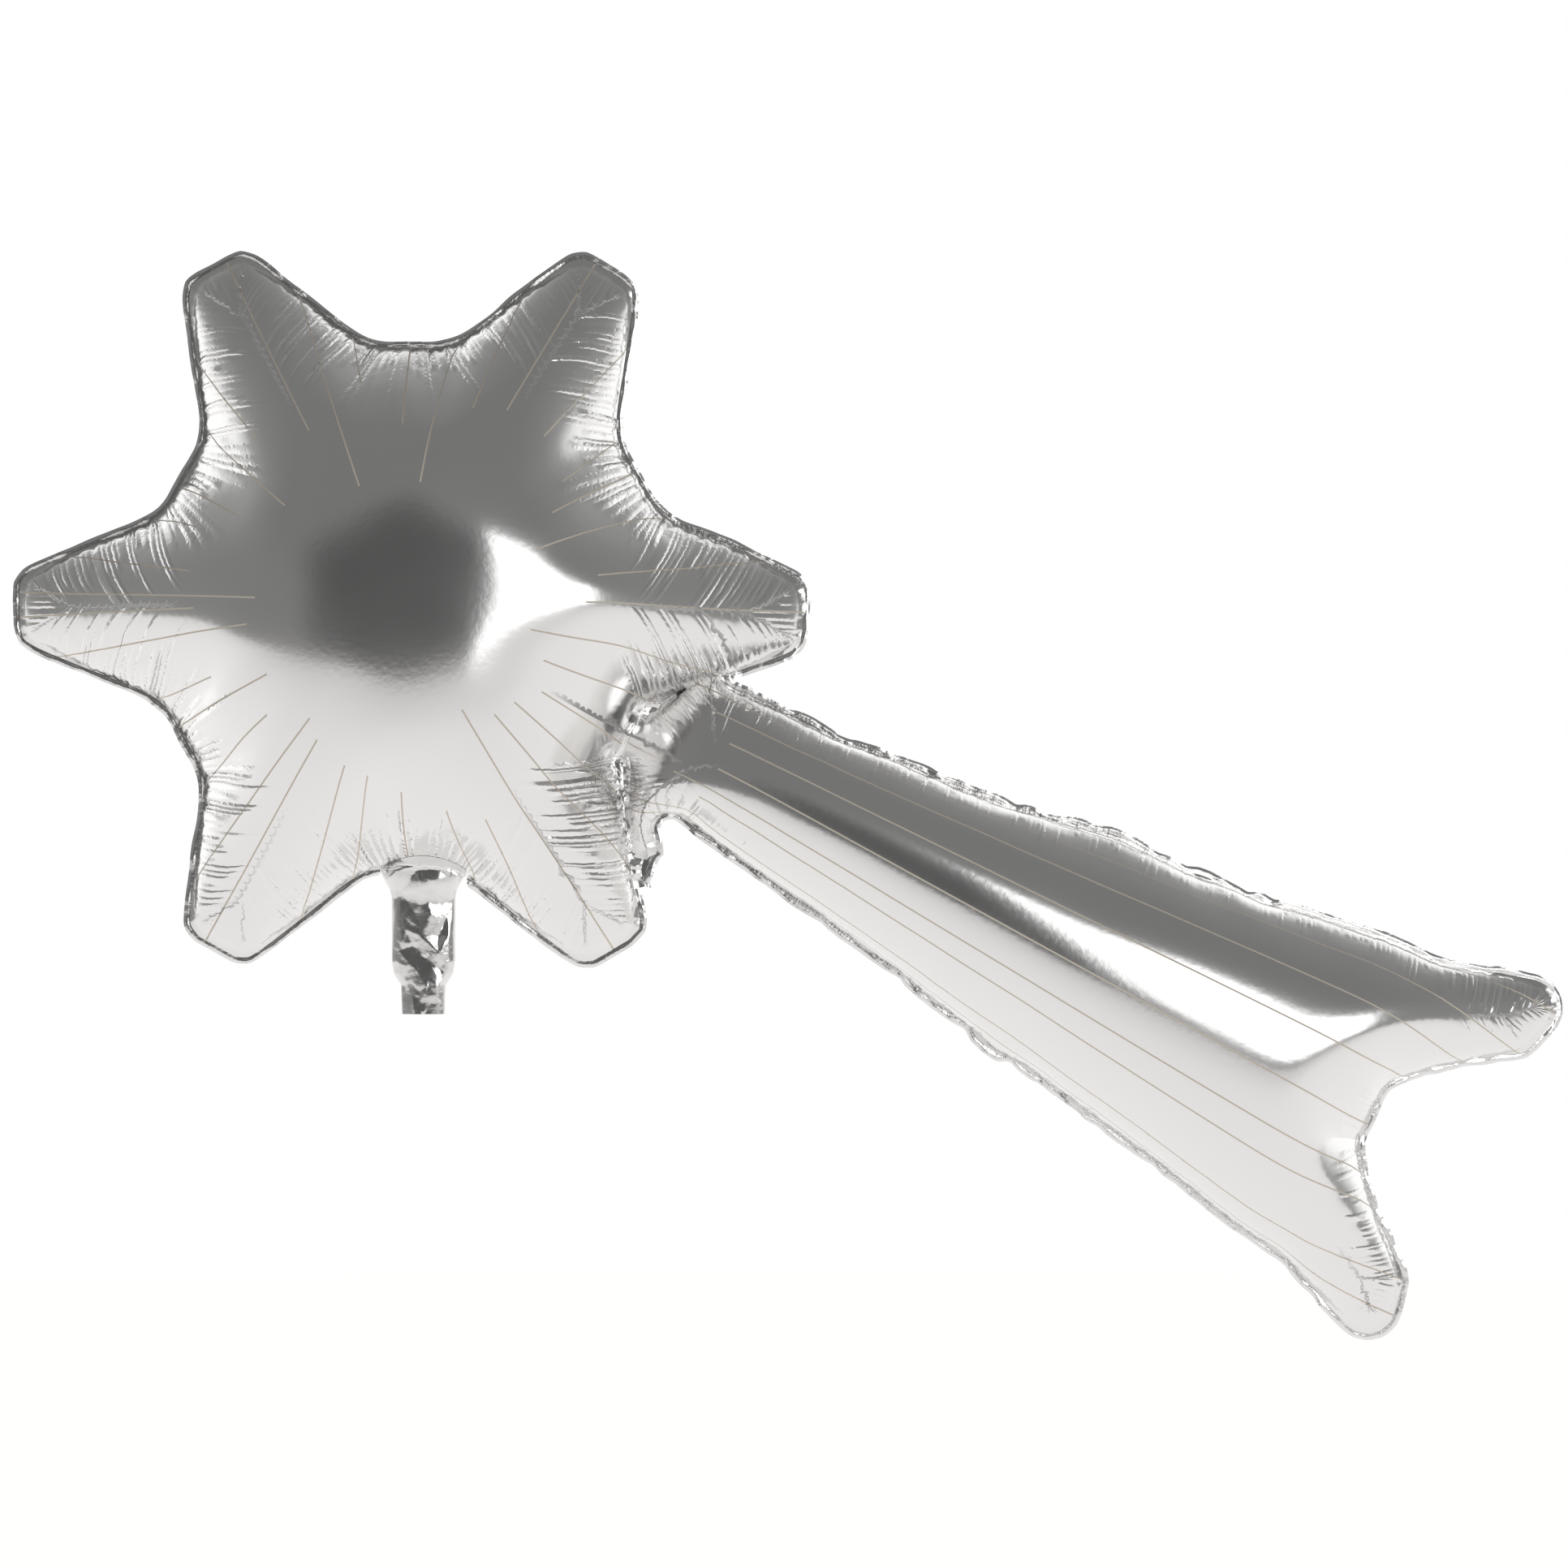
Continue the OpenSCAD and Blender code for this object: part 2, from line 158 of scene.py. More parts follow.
def tip_corners(arm):
    out = polar(1, 60 * arm)
    side = np.array([-out[1], out[0]]) * TIP_HALF
    return out * TIP_REACH[arm] - side, out * TIP_REACH[arm] + side


# %% The outline, run by run
def slit_corners(corner):
    """The slit along the star's edge from the streamer's notch to a tip's corner: its end and its mouth on
    the star's side, then its end and its mouth on the streamer's side."""
    notch = polar(NOTCH_REACH, -30)
    edge = (corner - notch) / np.linalg.norm(corner - notch)
    away = np.array([-edge[1], edge[0]])
    if away @ along < 0:
        away = -away
    end = notch + edge * PASSAGE_WIDTH / 2
    mouth = notch + edge * (SLIT_MOUTH - notch @ along) / (edge @ along)
    return end, mouth, end + away * SLIT_WIDTH, mouth + away * SLIT_WIDTH


def sharp(*points):
    return [(*point, 0) for point in points]


lower_end, lower_mouth, lower_far_end, lower_far_mouth = slit_corners(tip_corners(5)[1])
upper_end, upper_mouth, upper_far_end, upper_far_mouth = slit_corners(tip_corners(0)[0])

star_corners = sharp(upper_mouth)
for arm in range(6):
    star_corners += [(*corner, TIP_RADIUS) for corner in tip_corners(arm)]
    if arm < 5:
        star_corners.append((*polar(NOTCH_REACH, 60 * arm + 30), NOTCH_RADIUS))
star_corners += sharp(lower_mouth)

lower_side = [(*(along * reach - across * half), radius) for reach, half, radius in STREAMER_SIDE]
upper_side = [(*(along * reach + across * half), radius) for reach, half, radius in reversed(STREAMER_SIDE)]
streamer_corners = sharp(lower_far_mouth) + lower_side + upper_side + sharp(upper_far_mouth)

OUTLINE = {
    "star": star_corners,
    "lower_slit_near": sharp(lower_mouth, lower_end),
    "lower_slit_end": sharp(lower_end, lower_far_end),
    "lower_slit_far": sharp(lower_far_end, lower_far_mouth),
    "streamer": streamer_corners,
    "upper_slit_far": sharp(upper_far_mouth, upper_far_end),
    "upper_slit_end": sharp(upper_far_end, upper_end),
    "upper_slit_near": sharp(upper_end, upper_mouth),
}
print("outline of", len(OUTLINE), "runs and", sum(map(len, OUTLINE.values())), "corners")


# %% Rounding the corners and spacing the points
ARC_POINTS = 24


def rounded(corners):
    """A line through the corners, with an arc of its radius at each."""
    line = [np.array(corners[0][:2])]
    for before, corner, after in zip(corners, corners[1:], corners[2:]):
        here = np.array(corner[:2])
        back, on = np.array(before[:2]) - here, np.array(after[:2]) - here
        room = 0.499 * min(np.linalg.norm(back), np.linalg.norm(on))
        back, on = back / np.linalg.norm(back), on / np.linalg.norm(on)
        half_angle = math.acos(np.clip(back @ on, -1, 1)) / 2
        cut = min(corner[2] / math.tan(half_angle), room)
        middle = here + (back + on) / np.linalg.norm(back + on) * cut / math.cos(half_angle)
        start, end = here + back * cut - middle, here + on * cut - middle
        turn = math.atan2(start[0] * end[1] - start[1] * end[0], start @ end)
        for angle in np.linspace(0, turn, ARC_POINTS):
            spun = start * math.cos(angle) + np.array([-start[1], start[0]]) * math.sin(angle)
            line.append(middle + spun)
    return np.array(line + [np.array(corners[-1][:2])])


def spaced(line, spacing):
    """Points at even steps along a line, both ends among them."""
    lengths = np.concatenate([[0], np.cumsum(np.linalg.norm(np.diff(line, axis=0), axis=1))])
    at = np.linspace(0, lengths[-1], max(2, round(lengths[-1] / spacing) + 1))
    return np.stack([np.interp(at, lengths, line[:, axis]) for axis in range(2)], axis=1)


def edge_points(spacing):
    """The points of the whole edge, and the places of each run's points among them."""
    points, places = [], {}
    for name, corners in OUTLINE.items():
        run = spaced(rounded(corners), spacing)
        places[name] = list(range(len(points), len(points) + len(run)))
        points += list(run[:-1])
    places["upper_slit_near"][-1] = 0
    return np.array(points), places


def tree_of(points):
    tree = KDTree(len(points))
    for place, point in enumerate(points):
        tree.insert((point[0], point[1], 0), place)
    tree.balance()
    return tree


# %% The size of each sheet's cut
cut_edge, _ = edge_points(0.005)

# %% [markdown]
# ## From the cut to a mesh
# Cloth needs triangles of an even, rather random layout, or its folds line up with the mesh. A Delaunay
# triangulation of scattered points gives that, and keeps the outline's edges. The pleats are finest at
# the weld, so the points lie close there and further apart towards the middle.
# The second sheet is a copy on the other side, merged with the first along the edge, as the weld does.

# %% Scattered points inside the cut
SEED = 3
SCATTER = 0.1
COARSER = 1.22
CROWDED = 0.62


def inside(points, edge):
    """Whether each point is inside a closed edge: a ray from it then crosses the edge an odd number of times."""
    odd = np.zeros(len(points), bool)
    for a, b in zip(edge, np.roll(edge, -1, axis=0)):
        spans = (a[1] > points[:, 1]) != (b[1] > points[:, 1])
        rise = b[1] - a[1] if b[1] != a[1] else 1e-12
        odd ^= spans & (points[:, 0] < (b[0] - a[0]) * (points[:, 1] - a[1]) / rise + a[0])
    return odd


def scattered(edge, close, wide, band):
    """Points inside the edge, close together at it and wide apart from band inwards."""
    chance, tree = np.random.default_rng(SEED), tree_of(edge)
    low, high = edge.min(axis=0), edge.max(axis=0)
    grids, spacing = [], close
    while spacing <= wide * 1.01:
        across_grid, up_grid = np.meshgrid(np.arange(low[0], high[0], spacing),
                                           np.arange(low[1], high[1], spacing * math.sqrt(3) / 2))
        across_grid[::2] += spacing / 2
        grid = np.stack([across_grid.ravel(), up_grid.ravel()], axis=1)
        grid += chance.uniform(-SCATTER, SCATTER, grid.shape) * spacing
        grid = grid[inside(grid, edge)]
        reach = np.array([tree.find((*point, 0))[2] for point in grid])
        wanted = close + (wide - close) * np.minimum(1, reach / band)
        coarser = spacing * COARSER
        last = coarser > wide * 1.01
        keep = (reach > 0.6 * close) & (wanted >= spacing * 0.999) & (last | (wanted < coarser))
        grids.append(np.column_stack([grid[keep], wanted[keep]]))
        spacing = coarser
    points = np.concatenate(grids)
    alive, tree = np.ones(len(points), bool), tree_of(points)
    for place, point in enumerate(points):
        if alive[place]:
            for _, other, _ in tree.find_range((point[0], point[1], 0), CROWDED * point[2]):
                alive[other] &= other <= place
    return points[alive, :2]


# %% Two sheets, welded along the edge
SHEET_GAP = 0.0006
CLOSE_BAND = 0.05


def foil_bag(close, wide):
    """The flat bag as a mesh, and the places of its edge's points."""
    edge, places = edge_points(close)
    points = list(edge) + list(scattered(edge, close, wide, CLOSE_BAND))
    loop = list(range(len(edge)))
    corners, _, triangles, sources, _, _ = delaunay_2d_cdt(
        [Vector(point) for point in points], list(zip(loop, loop[1:] + loop[:1])), [loop], 1, 1e-7)
    bm = bmesh.new()
    made = [bm.verts.new((corner[0], 0, corner[1])) for corner in corners]
    for triangle in triangles:
        bm.faces.new([made[place] for place in triangle])
    bmesh.ops.recalc_face_normals(bm, faces=bm.faces[:])
    if sum(face.normal.y for face in bm.faces) > 0:
        bmesh.ops.reverse_faces(bm, faces=bm.faces[:])
    for vert, source in zip(made, sources):
        if not any(place < len(edge) for place in source):
            vert.co.y = -SHEET_GAP
    copied = bmesh.ops.duplicate(bm, geom=bm.verts[:] + bm.faces[:])["geom"]
    for vert in (item for item in copied if isinstance(item, bmesh.types.BMVert)):
        vert.co.y = -vert.co.y
    bmesh.ops.reverse_faces(bm, faces=[item for item in copied if isinstance(item, bmesh.types.BMFace)])
    bmesh.ops.remove_doubles(bm, verts=bm.verts[:], dist=1e-5)
    bm.verts.index_update()
    on_edge = [vert for vert in bm.verts if abs(vert.co.y) < SHEET_GAP / 2]
    where = tree_of([(vert.co.x, vert.co.z) for vert in on_edge])
    edge_verts = [on_edge[where.find((*point, 0))[1]].index for point in edge]
    mesh = bpy.data.meshes.new("foil_bag")
    bm.to_mesh(mesh)
    bm.free()
    return mesh, {name: [edge_verts[place] for place in run] for name, run in places.items()}


def read_from(items, name, width, kind=np.float32):
    """One property of every item of a mesh, as rows of numbers."""
    flat = np.zeros(len(items) * width, kind)
    items.foreach_get(name, flat)
    return flat.reshape(-1, width)


def write_to(items, name, rows):
    items.foreach_set(name, rows.astype(np.float32).ravel())


def points_of(mesh):
    return read_from(mesh.vertices, "co", 3).astype(float)


def triangles_of(mesh):
    return read_from(mesh.polygons, "vertices", 3, np.int32)


# %% [markdown]
# ## Blowing it up
# Blender's Cloth pushes the bag out with a pressure. Foil holds hard when it is pulled, and gives way at
# once when it is squeezed, because it only has to fold. So the tension stiffness is high and the
# compression stiffness is low: the squeezed parts get shorter, which is where the pleats will be.
# One fine mesh would take minutes to settle. A coarse bag finds the shape in seconds, and a fine bag,
# laid on the blown coarse one and told that its resting shape is the flat cut, only has to sharpen it.

# %% The cloth run
FOIL_MASS = 0.05
TENSION, DAMPING, AIR_DAMPING = 80, 5, 3
STEPS_PER_FRAME = 6


def blow(mesh, frames, pressure, squeeze, bending, start=None):
    """The bag's points after a number of frames under pressure, from flat or from the points given."""
    bag = bpy.data.objects.new("bag", mesh)
    scene.collection.objects.link(bag)
    if start is not None:
        bag.shape_key_add(name="blown")
        flat_key = bag.shape_key_add(name="flat")
        write_to(flat_key.data, "co", points_of(mesh))
        write_to(mesh.shape_keys.key_blocks["blown"].data, "co", start)
        write_to(mesh.vertices, "co", start)
    cloth = bag.modifiers.new("cloth", "CLOTH")
    settings = cloth.settings
    if start is not None:
        settings.rest_shape_key = flat_key
    settings.quality = STEPS_PER_FRAME
    settings.mass = FOIL_MASS
    settings.tension_stiffness = TENSION
    settings.compression_stiffness = settings.shear_stiffness = squeeze
    settings.bending_stiffness = bending
    settings.tension_damping = settings.compression_damping = settings.shear_damping = DAMPING
    settings.air_damping = AIR_DAMPING
    settings.use_pressure = True
    settings.uniform_pressure_force = pressure
    settings.effector_weights.gravity = 0
    cloth.collision_settings.use_collision = False
    cloth.point_cache.frame_start, cloth.point_cache.frame_end = 1, frames
    scene.frame_start, scene.frame_end = 1, frames
    for number in range(1, frames + 1):
        scene.frame_set(number)
    blown = points_of(bag.evaluated_get(bpy.context.evaluated_depsgraph_get()).data)
    scene.frame_set(1)
    if start is not None:
        bag.shape_key_clear()
    bpy.data.objects.remove(bag)
    return blown


# %% The coarse bag, blown from flat
COARSE_SPACING = 0.009
coarse_mesh, _ = foil_bag(COARSE_SPACING, COARSE_SPACING)
coarse_flat, coarse_triangles = points_of(coarse_mesh), triangles_of(coarse_mesh)
coarse_blown = blow(coarse_mesh, frames=32, pressure=10, squeeze=5, bending=0.02)
print("coarse bag:", len(coarse_flat), "points, depth", round(float(np.ptp(coarse_blown[:, 1])), 4))


# %% Laying the fine bag on the blown one
def carried(flat_points):
    """Where points of the flat cut lie on the blown coarse bag."""
    on_bag = np.zeros_like(flat_points)
    middles = coarse_flat[coarse_triangles][:, :, 1].mean(axis=1)
    pressed = coarse_flat * [1, 0, 1]
    for side in (-1, 1):
        chosen = coarse_triangles[middles * side > 0]
        tree = BVHTree.FromPolygons(pressed.tolist(), chosen.tolist())
        for place in np.where((flat_points[:, 1] > 0) == (side > 0))[0]:
            near, _, triangle, _ = tree.find_nearest((flat_points[place, 0], 0, flat_points[place, 2]))
            flat_corners = [Vector(pressed[corner]) for corner in chosen[triangle]]
            blown_corners = [Vector(coarse_blown[corner]) for corner in chosen[triangle]]
            on_bag[place] = barycentric_transform(near, *flat_corners, *blown_corners)
    return on_bag


# %% The fine bag, blown from the coarse one's shape
FINE_CLOSE, FINE_WIDE = 0.0026, 0.0075
fine_mesh, seam = foil_bag(FINE_CLOSE, FINE_WIDE)
fine_flat, fine_triangles = points_of(fine_mesh), triangles_of(fine_mesh)
at_weld = np.abs(fine_flat[:, 1]) < SHEET_GAP / 2
fine_blown = carried(fine_flat)
fine_blown = blow(fine_mesh, frames=12, pressure=30, squeeze=30, bending=0.005, start=fine_blown)
print("fine bag:", len(fine_flat), "points,", len(fine_triangles), "triangles, depth",
      round(float(np.ptp(fine_blown[:, 1])), 4))

# %% [markdown]
# ## Straightening it onto the frame
# A blown bag drifts and turns a little as it fills. The four tips away from the streamer fix the star's
# centre and turn exactly, as a best fit. The streamer buckles at its root, so its direction comes out up
# to a degree off. It is swung back about the crease, with the turn growing smoothly along the root.

# %% Best fit of the star
TIP_ZONE, TIP_SPREAD = 0.25, 0.035


def turned(points, centre, angles):
    """Points turned about a place in the front view, each by its own angle."""
    right, up = points[:, 0] - centre[0], points[:, 2] - centre[2]
    return np.stack([centre[0] + right * np.cos(angles) - up * np.sin(angles), points[:, 1],
                     centre[2] + right * np.sin(angles) + up * np.cos(angles)], axis=1)


flat_reach = np.hypot(fine_flat[:, 0], fine_flat[:, 2])
flat_turn = np.arctan2(fine_flat[:, 2], fine_flat[:, 0])
rows, tips = [], []
for arm in range(1, 5):
    apart = np.angle(np.exp(1j * (flat_turn - math.radians(60 * arm))))
    at_tip = (np.abs(apart) < TIP_SPREAD) & (flat_reach > TIP_ZONE) & at_weld
    tip = fine_blown[at_tip].mean(axis=0)
    rows.append([1, np.exp(1j * math.radians(60 * arm))])
    tips.append(complex(tip[0], tip[2]))
fitted_centre, fitted_turn = np.linalg.lstsq(np.array(rows), np.array(tips), rcond=None)[0]
bag_points = fine_blown - [fitted_centre.real, fine_blown[:, 1].mean(), fitted_centre.imag]
bag_points = turned(bag_points, (0, 0, 0), -np.angle(fitted_turn)) + star_centre

# %% The streamer's swing
SWING_START, SWING_END = 0.20, 0.30
SIDES_FROM, SIDES_TO = 0.45, 0.75


def rising(values, low, high):
    """0 below low, 1 above high, and smooth between."""
    share = np.clip((values - low) / (high - low), 0, 1)
    return share * share * (3 - 2 * share)


cut_along = fine_flat[:, [0, 2]] @ along
two_sides = (cut_along > SIDES_FROM) & (cut_along < SIDES_TO) & at_weld
middle = bag_points[two_sides].mean(axis=0) - np.array(crease)
swing = math.atan2(middle[2], middle[0]) - STREAMER_ANGLE
in_streamer = cut_along > NOTCH_REACH + NOTCH_SLOPE * np.abs(fine_flat[:, [0, 2]] @ across)
bag_points = turned(bag_points, crease, -swing * rising(cut_along, SWING_START, SWING_END) * in_streamer)
print("star turned", round(math.degrees(np.angle(fitted_turn)), 2), "streamer swung",
      round(math.degrees(-swing), 2), "degrees; box", np.round(np.ptp(bag_points, axis=0), 4))

# %% [markdown]
# ## The star's edge
# On the real bag the doubled hem outside the weld keeps each notch an even curve. The cloth has no hem, so
# its edge kinks at the middle of every notch. The edge is moved onto an even curve of the design's kind,
# whose notches stand 5 mm further out than the design's weld line, and the foil behind it follows, less
# and less with the distance. The pressure also leaves broad buckles on the domes that a real bag spreads
# over many fine pleats, so those are averaged out.

# %% Onto an even curve
WELD_TIP, WELD_NOTCH, ARM_SHARPNESS = 0.251, 0.167, 2
DOME_ROUNDS = 12
# The foil follows the edge from half way out. The move dies away towards the tips and the streamer.
FOLLOWING = 0.5
TOWARDS_TIP = math.radians(19), math.radians(26)
FROM_STREAMER = math.radians(26), math.radians(36)


def averaged(values, triangles, rounds):
    """Values averaged with those of the points next to them, a number of times over."""
    corners = triangles.ravel()
    count = np.zeros(len(values))
    np.add.at(count, corners, 1)
    for _ in range(rounds):
        total = np.zeros_like(values)
        np.add.at(total, corners, np.repeat(values[triangles].mean(axis=1), 3, axis=0))
        values = (total.T / count).T
    return values


def curve_reach(angle):
    return WELD_NOTCH + (WELD_TIP - WELD_NOTCH) * ((1 + np.cos(6 * angle)) / 2) ** ARM_SHARPNESS


relaxed = averaged(np.hstack([bag_points, fine_flat[:, [0, 2]]]), fine_triangles, DOME_ROUNDS)
bag_points = np.where(at_weld[:, None], bag_points, relaxed[:, :3])
bag_cut = fine_flat.copy()
bag_cut[:, [0, 2]] = np.where(at_weld[:, None], fine_flat[:, [0, 2]], relaxed[:, 3:])
from_star = bag_points - star_centre
bag_angle = np.arctan2(from_star[:, 2], from_star[:, 0])
bag_reach = np.hypot(from_star[:, 0], from_star[:, 2])
star_seam = np.array(seam["star"])
order = star_seam[np.argsort(bag_angle[star_seam])]
seam_reach = np.interp(bag_angle, bag_angle[order], bag_reach[order], period=2 * math.pi)
from_notch = np.abs(np.mod(bag_angle, math.pi / 3) - math.pi / 6)
from_streamer = np.abs(bag_angle + math.pi / 6)
move = (curve_reach(bag_angle) - seam_reach) * (1 - rising(from_notch, *TOWARDS_TIP))
move *= rising(from_streamer, *FROM_STREAMER) * rising(bag_reach / seam_reach, FOLLOWING, 1)
bag_points[:, 0] += move * np.cos(bag_angle)
bag_points[:, 2] += move * np.sin(bag_angle)
print("edge moved by", round(float(move.min()) * 1000, 1), "to", round(float(move.max()) * 1000, 1), "mm")

# %% The fork's two tips, drawn together
# The blown fork spreads a little wider than the design's.
FORK_DRAWN = 0.012
FORK_FROM, FORK_TO = 0.64, 0.77
BESIDE_FROM, BESIDE_TO = 0.03, 0.11
streamer_degrees = math.degrees(STREAMER_ANGLE)
axis, beside = polar(1, streamer_degrees), polar(1, streamer_degrees + 90)
from_star = bag_points - star_centre
bag_along, bag_beside = from_star[:, [0, 2]] @ axis, from_star[:, [0, 2]] @ beside
drawn = FORK_DRAWN * rising(bag_along, FORK_FROM, FORK_TO) * np.sign(bag_beside)
drawn *= rising(np.abs(bag_beside), BESIDE_FROM, BESIDE_TO)
bag_points[:, 0] -= drawn * beside[0]
bag_points[:, 2] -= drawn * beside[1]
print("fork drawn in by up to", round(float(np.abs(drawn).max()) * 1000, 1), "mm")

# %% [markdown]
# ## How much the foil is squeezed
# Comparing the blown coarse bag with its cut, triangle by triangle, tells how much shorter the foil has
# become there, once the mesh's own zigzags are averaged away. It is little on the domes and several per
# cent at the welds. The foil can't really shorten: it stands up in pleats, and this squeeze is one part of
# what sets their height. The other part is a rule, given in the cell about the edge of the cut.

# %% Squeeze at each point of the coarse bag
SQUEEZE_ROUNDS = 3
SQUEEZE_RANGE = 0.030
LEAST_DOUBLE_AREA = 1e-7
MOST_SHRINK = 0.3


def sides_of(points, triangles):
    corners = points[triangles]
    return np.stack([corners[:, 1] - corners[:, 0], corners[:, 2] - corners[:, 0]], axis=2)


smooth_flat = averaged(coarse_flat * [1, 0, 1], coarse_triangles, SQUEEZE_ROUNDS)[:, [0, 2]]
smooth_blown = averaged(coarse_blown, coarse_triangles, SQUEEZE_ROUNDS)
flat_sides = sides_of(smooth_flat, coarse_triangles)
whole = np.abs(np.linalg.det(flat_sides)) > LEAST_DOUBLE_AREA
change = sides_of(smooth_blown, coarse_triangles)[whole] @ np.linalg.inv(flat_sides[whole])
shrink = np.zeros(len(coarse_triangles))
shrink[whole] = np.clip(1 - np.linalg.svd(change, compute_uv=False)[:, 1], 0, MOST_SHRINK)
squeeze_total, squeeze_count = np.zeros(len(coarse_flat)), np.zeros(len(coarse_flat))
np.add.at(squeeze_total, coarse_triangles.ravel(), np.repeat(shrink, 3))
np.add.at(squeeze_count, coarse_triangles.ravel(), 1)
coarse_squeeze = squeeze_total / squeeze_count
squeeze_tree = tree_of(coarse_flat[:, [0, 2]])
print("squeeze: middle value", round(float(np.median(coarse_squeeze)), 3),
      "highest tenth above", round(float(np.percentile(coarse_squeeze, 90)), 3))


def squeeze_at(cut_point):
    found = squeeze_tree.find_range((*cut_point, 0), SQUEEZE_RANGE)
    return float(np.mean([coarse_squeeze[place] for _, place, _ in found]))


# %% [markdown]
# ## Pleats
# At the weld the foil puckers into narrow lobes with sharp valleys between them, at right angles to the
# edge. They start a few millimetres wide, and join into wider ones further in. Each lobe has its own
# height and reach, so that the pleats end at staggered places, as on a real bag.
# A subdivided copy of the bag gets the wide lobes as a push along its normals, worked out in the flat cut,
# where distance along the edge and distance from the edge are easy to tell. The finest pleats are a hair
# high and a few millimetres wide, so the material draws them later, from the same two distances, which
# the mesh carries as an attribute.

# %% Squeeze along the edge of the cut
EDGE_STEP, EDGE_STRIDE = 0.0005, 10
# The notches are drawn towards the star's middle far more than the tips: the part of that beyond the tips'
# own share is foil to spare along the edge, on top of a share of what the coarse bag measured. All these
# shares are given.
TIP_DRAWN_IN, MOST_SQUEEZED, MEASURED_SHARE, LEAST_SQUEEZED = 0.12, 0.14, 0.5, 0.02

fine_edge, edge_runs = edge_points(EDGE_STEP)
edge_tree = tree_of(fine_edge)
edge_reach = np.hypot(*fine_edge.T)
edge_turn = np.arctan2(fine_edge[:, 1], fine_edge[:, 0])
drawn_in = 1 - curve_reach(edge_turn) / edge_reach
on_star = fine_edge @ along < SLIT_MOUTH
edge_squeeze = np.repeat([squeeze_at(point) for point in fine_edge[::EDGE_STRIDE]], EDGE_STRIDE)
edge_squeeze = edge_squeeze[:len(fine_edge)] * MEASURED_SHARE
edge_squeeze += on_star * np.clip(drawn_in - TIP_DRAWN_IN, 0, MOST_SQUEEZED)
edge_squeeze = np.maximum(edge_squeeze, LEAST_SQUEEZED)
# The streamer's root is pulled straight by the gas on its own side of the two slits.
for slit_side in ("lower_slit_far", "upper_slit_far"):
    edge_squeeze[edge_runs[slit_side]] = LEAST_SQUEEZED
print("squeeze along the edge", np.round(np.percentile(edge_squeeze, [5, 50, 95]), 3))

# %% Lobes at right angles to the edge
PLEAT_DEPTH = 0.130
LOBES = 1024
LOBE_WIDTH, LOBE_REACH, LOBE_SHARE = 0.0095, 0.050, 0.55
LOBE_ONSET = 0.004
lobe_chance = np.random.default_rng(SEED)
lobe_ends = np.cumsum(lobe_chance.uniform(0.6, 1.4, LOBES)) * LOBE_WIDTH
lobe_heights = lobe_chance.uniform(0.3, 1.2, LOBES)
lobe_reaches = lobe_chance.uniform(0.4, 1.1, LOBES) * LOBE_REACH


def weld_place(cut_point):
    """How far along the edge a point of the cut is, how far in from it, and the full height of a pleat there
    as a share of the pleat's width: an arc that takes up the squeeze rises by the root of 3/8 of it."""
    _, place, inward = edge_tree.find((*cut_point, 0))
    rise = math.sqrt(3 / 8 * edge_squeeze[place]) if inward <= PLEAT_DEPTH else 0.0
    return place * EDGE_STEP, inward, rise


def lobe_height(run, inward, rise):
    """The push that makes a lobe: an arch across it, which fades along it to nothing at its own reach."""
    lobe = int(np.searchsorted(lobe_ends, run))
    start = lobe_ends[lobe - 1] if lobe else 0.0
    arch = math.sin(math.pi * (run - start) / (lobe_ends[lobe] - start)) ** 0.8
    fade = max(0.0, 1 - inward / lobe_reaches[lobe]) ** 0.7
    return LOBE_WIDTH * rise * LOBE_SHARE * lobe_heights[lobe] * arch * min(1, inward / LOBE_ONSET) * fade


# %% The bag, subdivided and pleated
bag_mesh = fine_mesh.copy()
write_to(bag_mesh.vertices, "co", bag_points)
write_to(bag_mesh.attributes.new("cut", "FLOAT_VECTOR", "POINT").data, "vector", bag_cut)
welded = at_weld[read_from(bag_mesh.edges, "vertices", 2, np.int32)].all(axis=1)
write_to(bag_mesh.attributes.new("crease_edge", "FLOAT", "EDGE").data, "value", welded)
bag = bpy.data.objects.new("bag", bag_mesh)
scene.collection.objects.link(bag)
smoothing = bag.modifiers.new("smoothing", "SUBSURF")
smoothing.levels = smoothing.render_levels = 1
foil_mesh = bpy.data.meshes.new_from_object(bag.evaluated_get(bpy.context.evaluated_depsgraph_get()))
bpy.data.objects.remove(bag)

foil_points = points_of(foil_mesh)
foil_cut = read_from(foil_mesh.attributes["cut"].data, "vector", 3).astype(float)
foil_normals = read_from(foil_mesh.vertex_normals, "vector", 3)
places, which = np.unique(foil_cut[:, [0, 2]].round(6), axis=0, return_inverse=True)
weld_places = np.array([weld_place(point) for point in places])
heights = np.array([lobe_height(*place) for place in weld_places])[which.ravel()]
write_to(foil_mesh.attributes.new("weld", "FLOAT_VECTOR", "POINT").data, "vector", weld_places[which.ravel()])
foil_points += foil_normals * heights[:, None]
write_to(foil_mesh.vertices, "co", foil_points)
seam_points = {name: foil_points[run] for name, run in seam.items()}
print("pleats up to", round(float(heights.max()) * 1000, 2), "mm on", len(foil_points), "points;",
      "cut kept to", round(float(np.abs(foil_cut[:len(bag_cut)] - bag_cut)[:, [0, 2]].max()) * 1000, 2), "mm")

# %% [markdown]
# ## The two foils
# The printed front and the plain back are two sheets, so the bag is split along the weld. Each keeps its
# flat cut as an attribute, which the printed lines will follow over every pleat.
# Both cross the crease where the streamer flexes, so they bend there, from just past the star's arms.

# %% Front and back foil
BLEND_START, BLEND_END = 0.236, 0.268


def on_axis(reach):
    return star_centre + to_crease.normalized() * reach


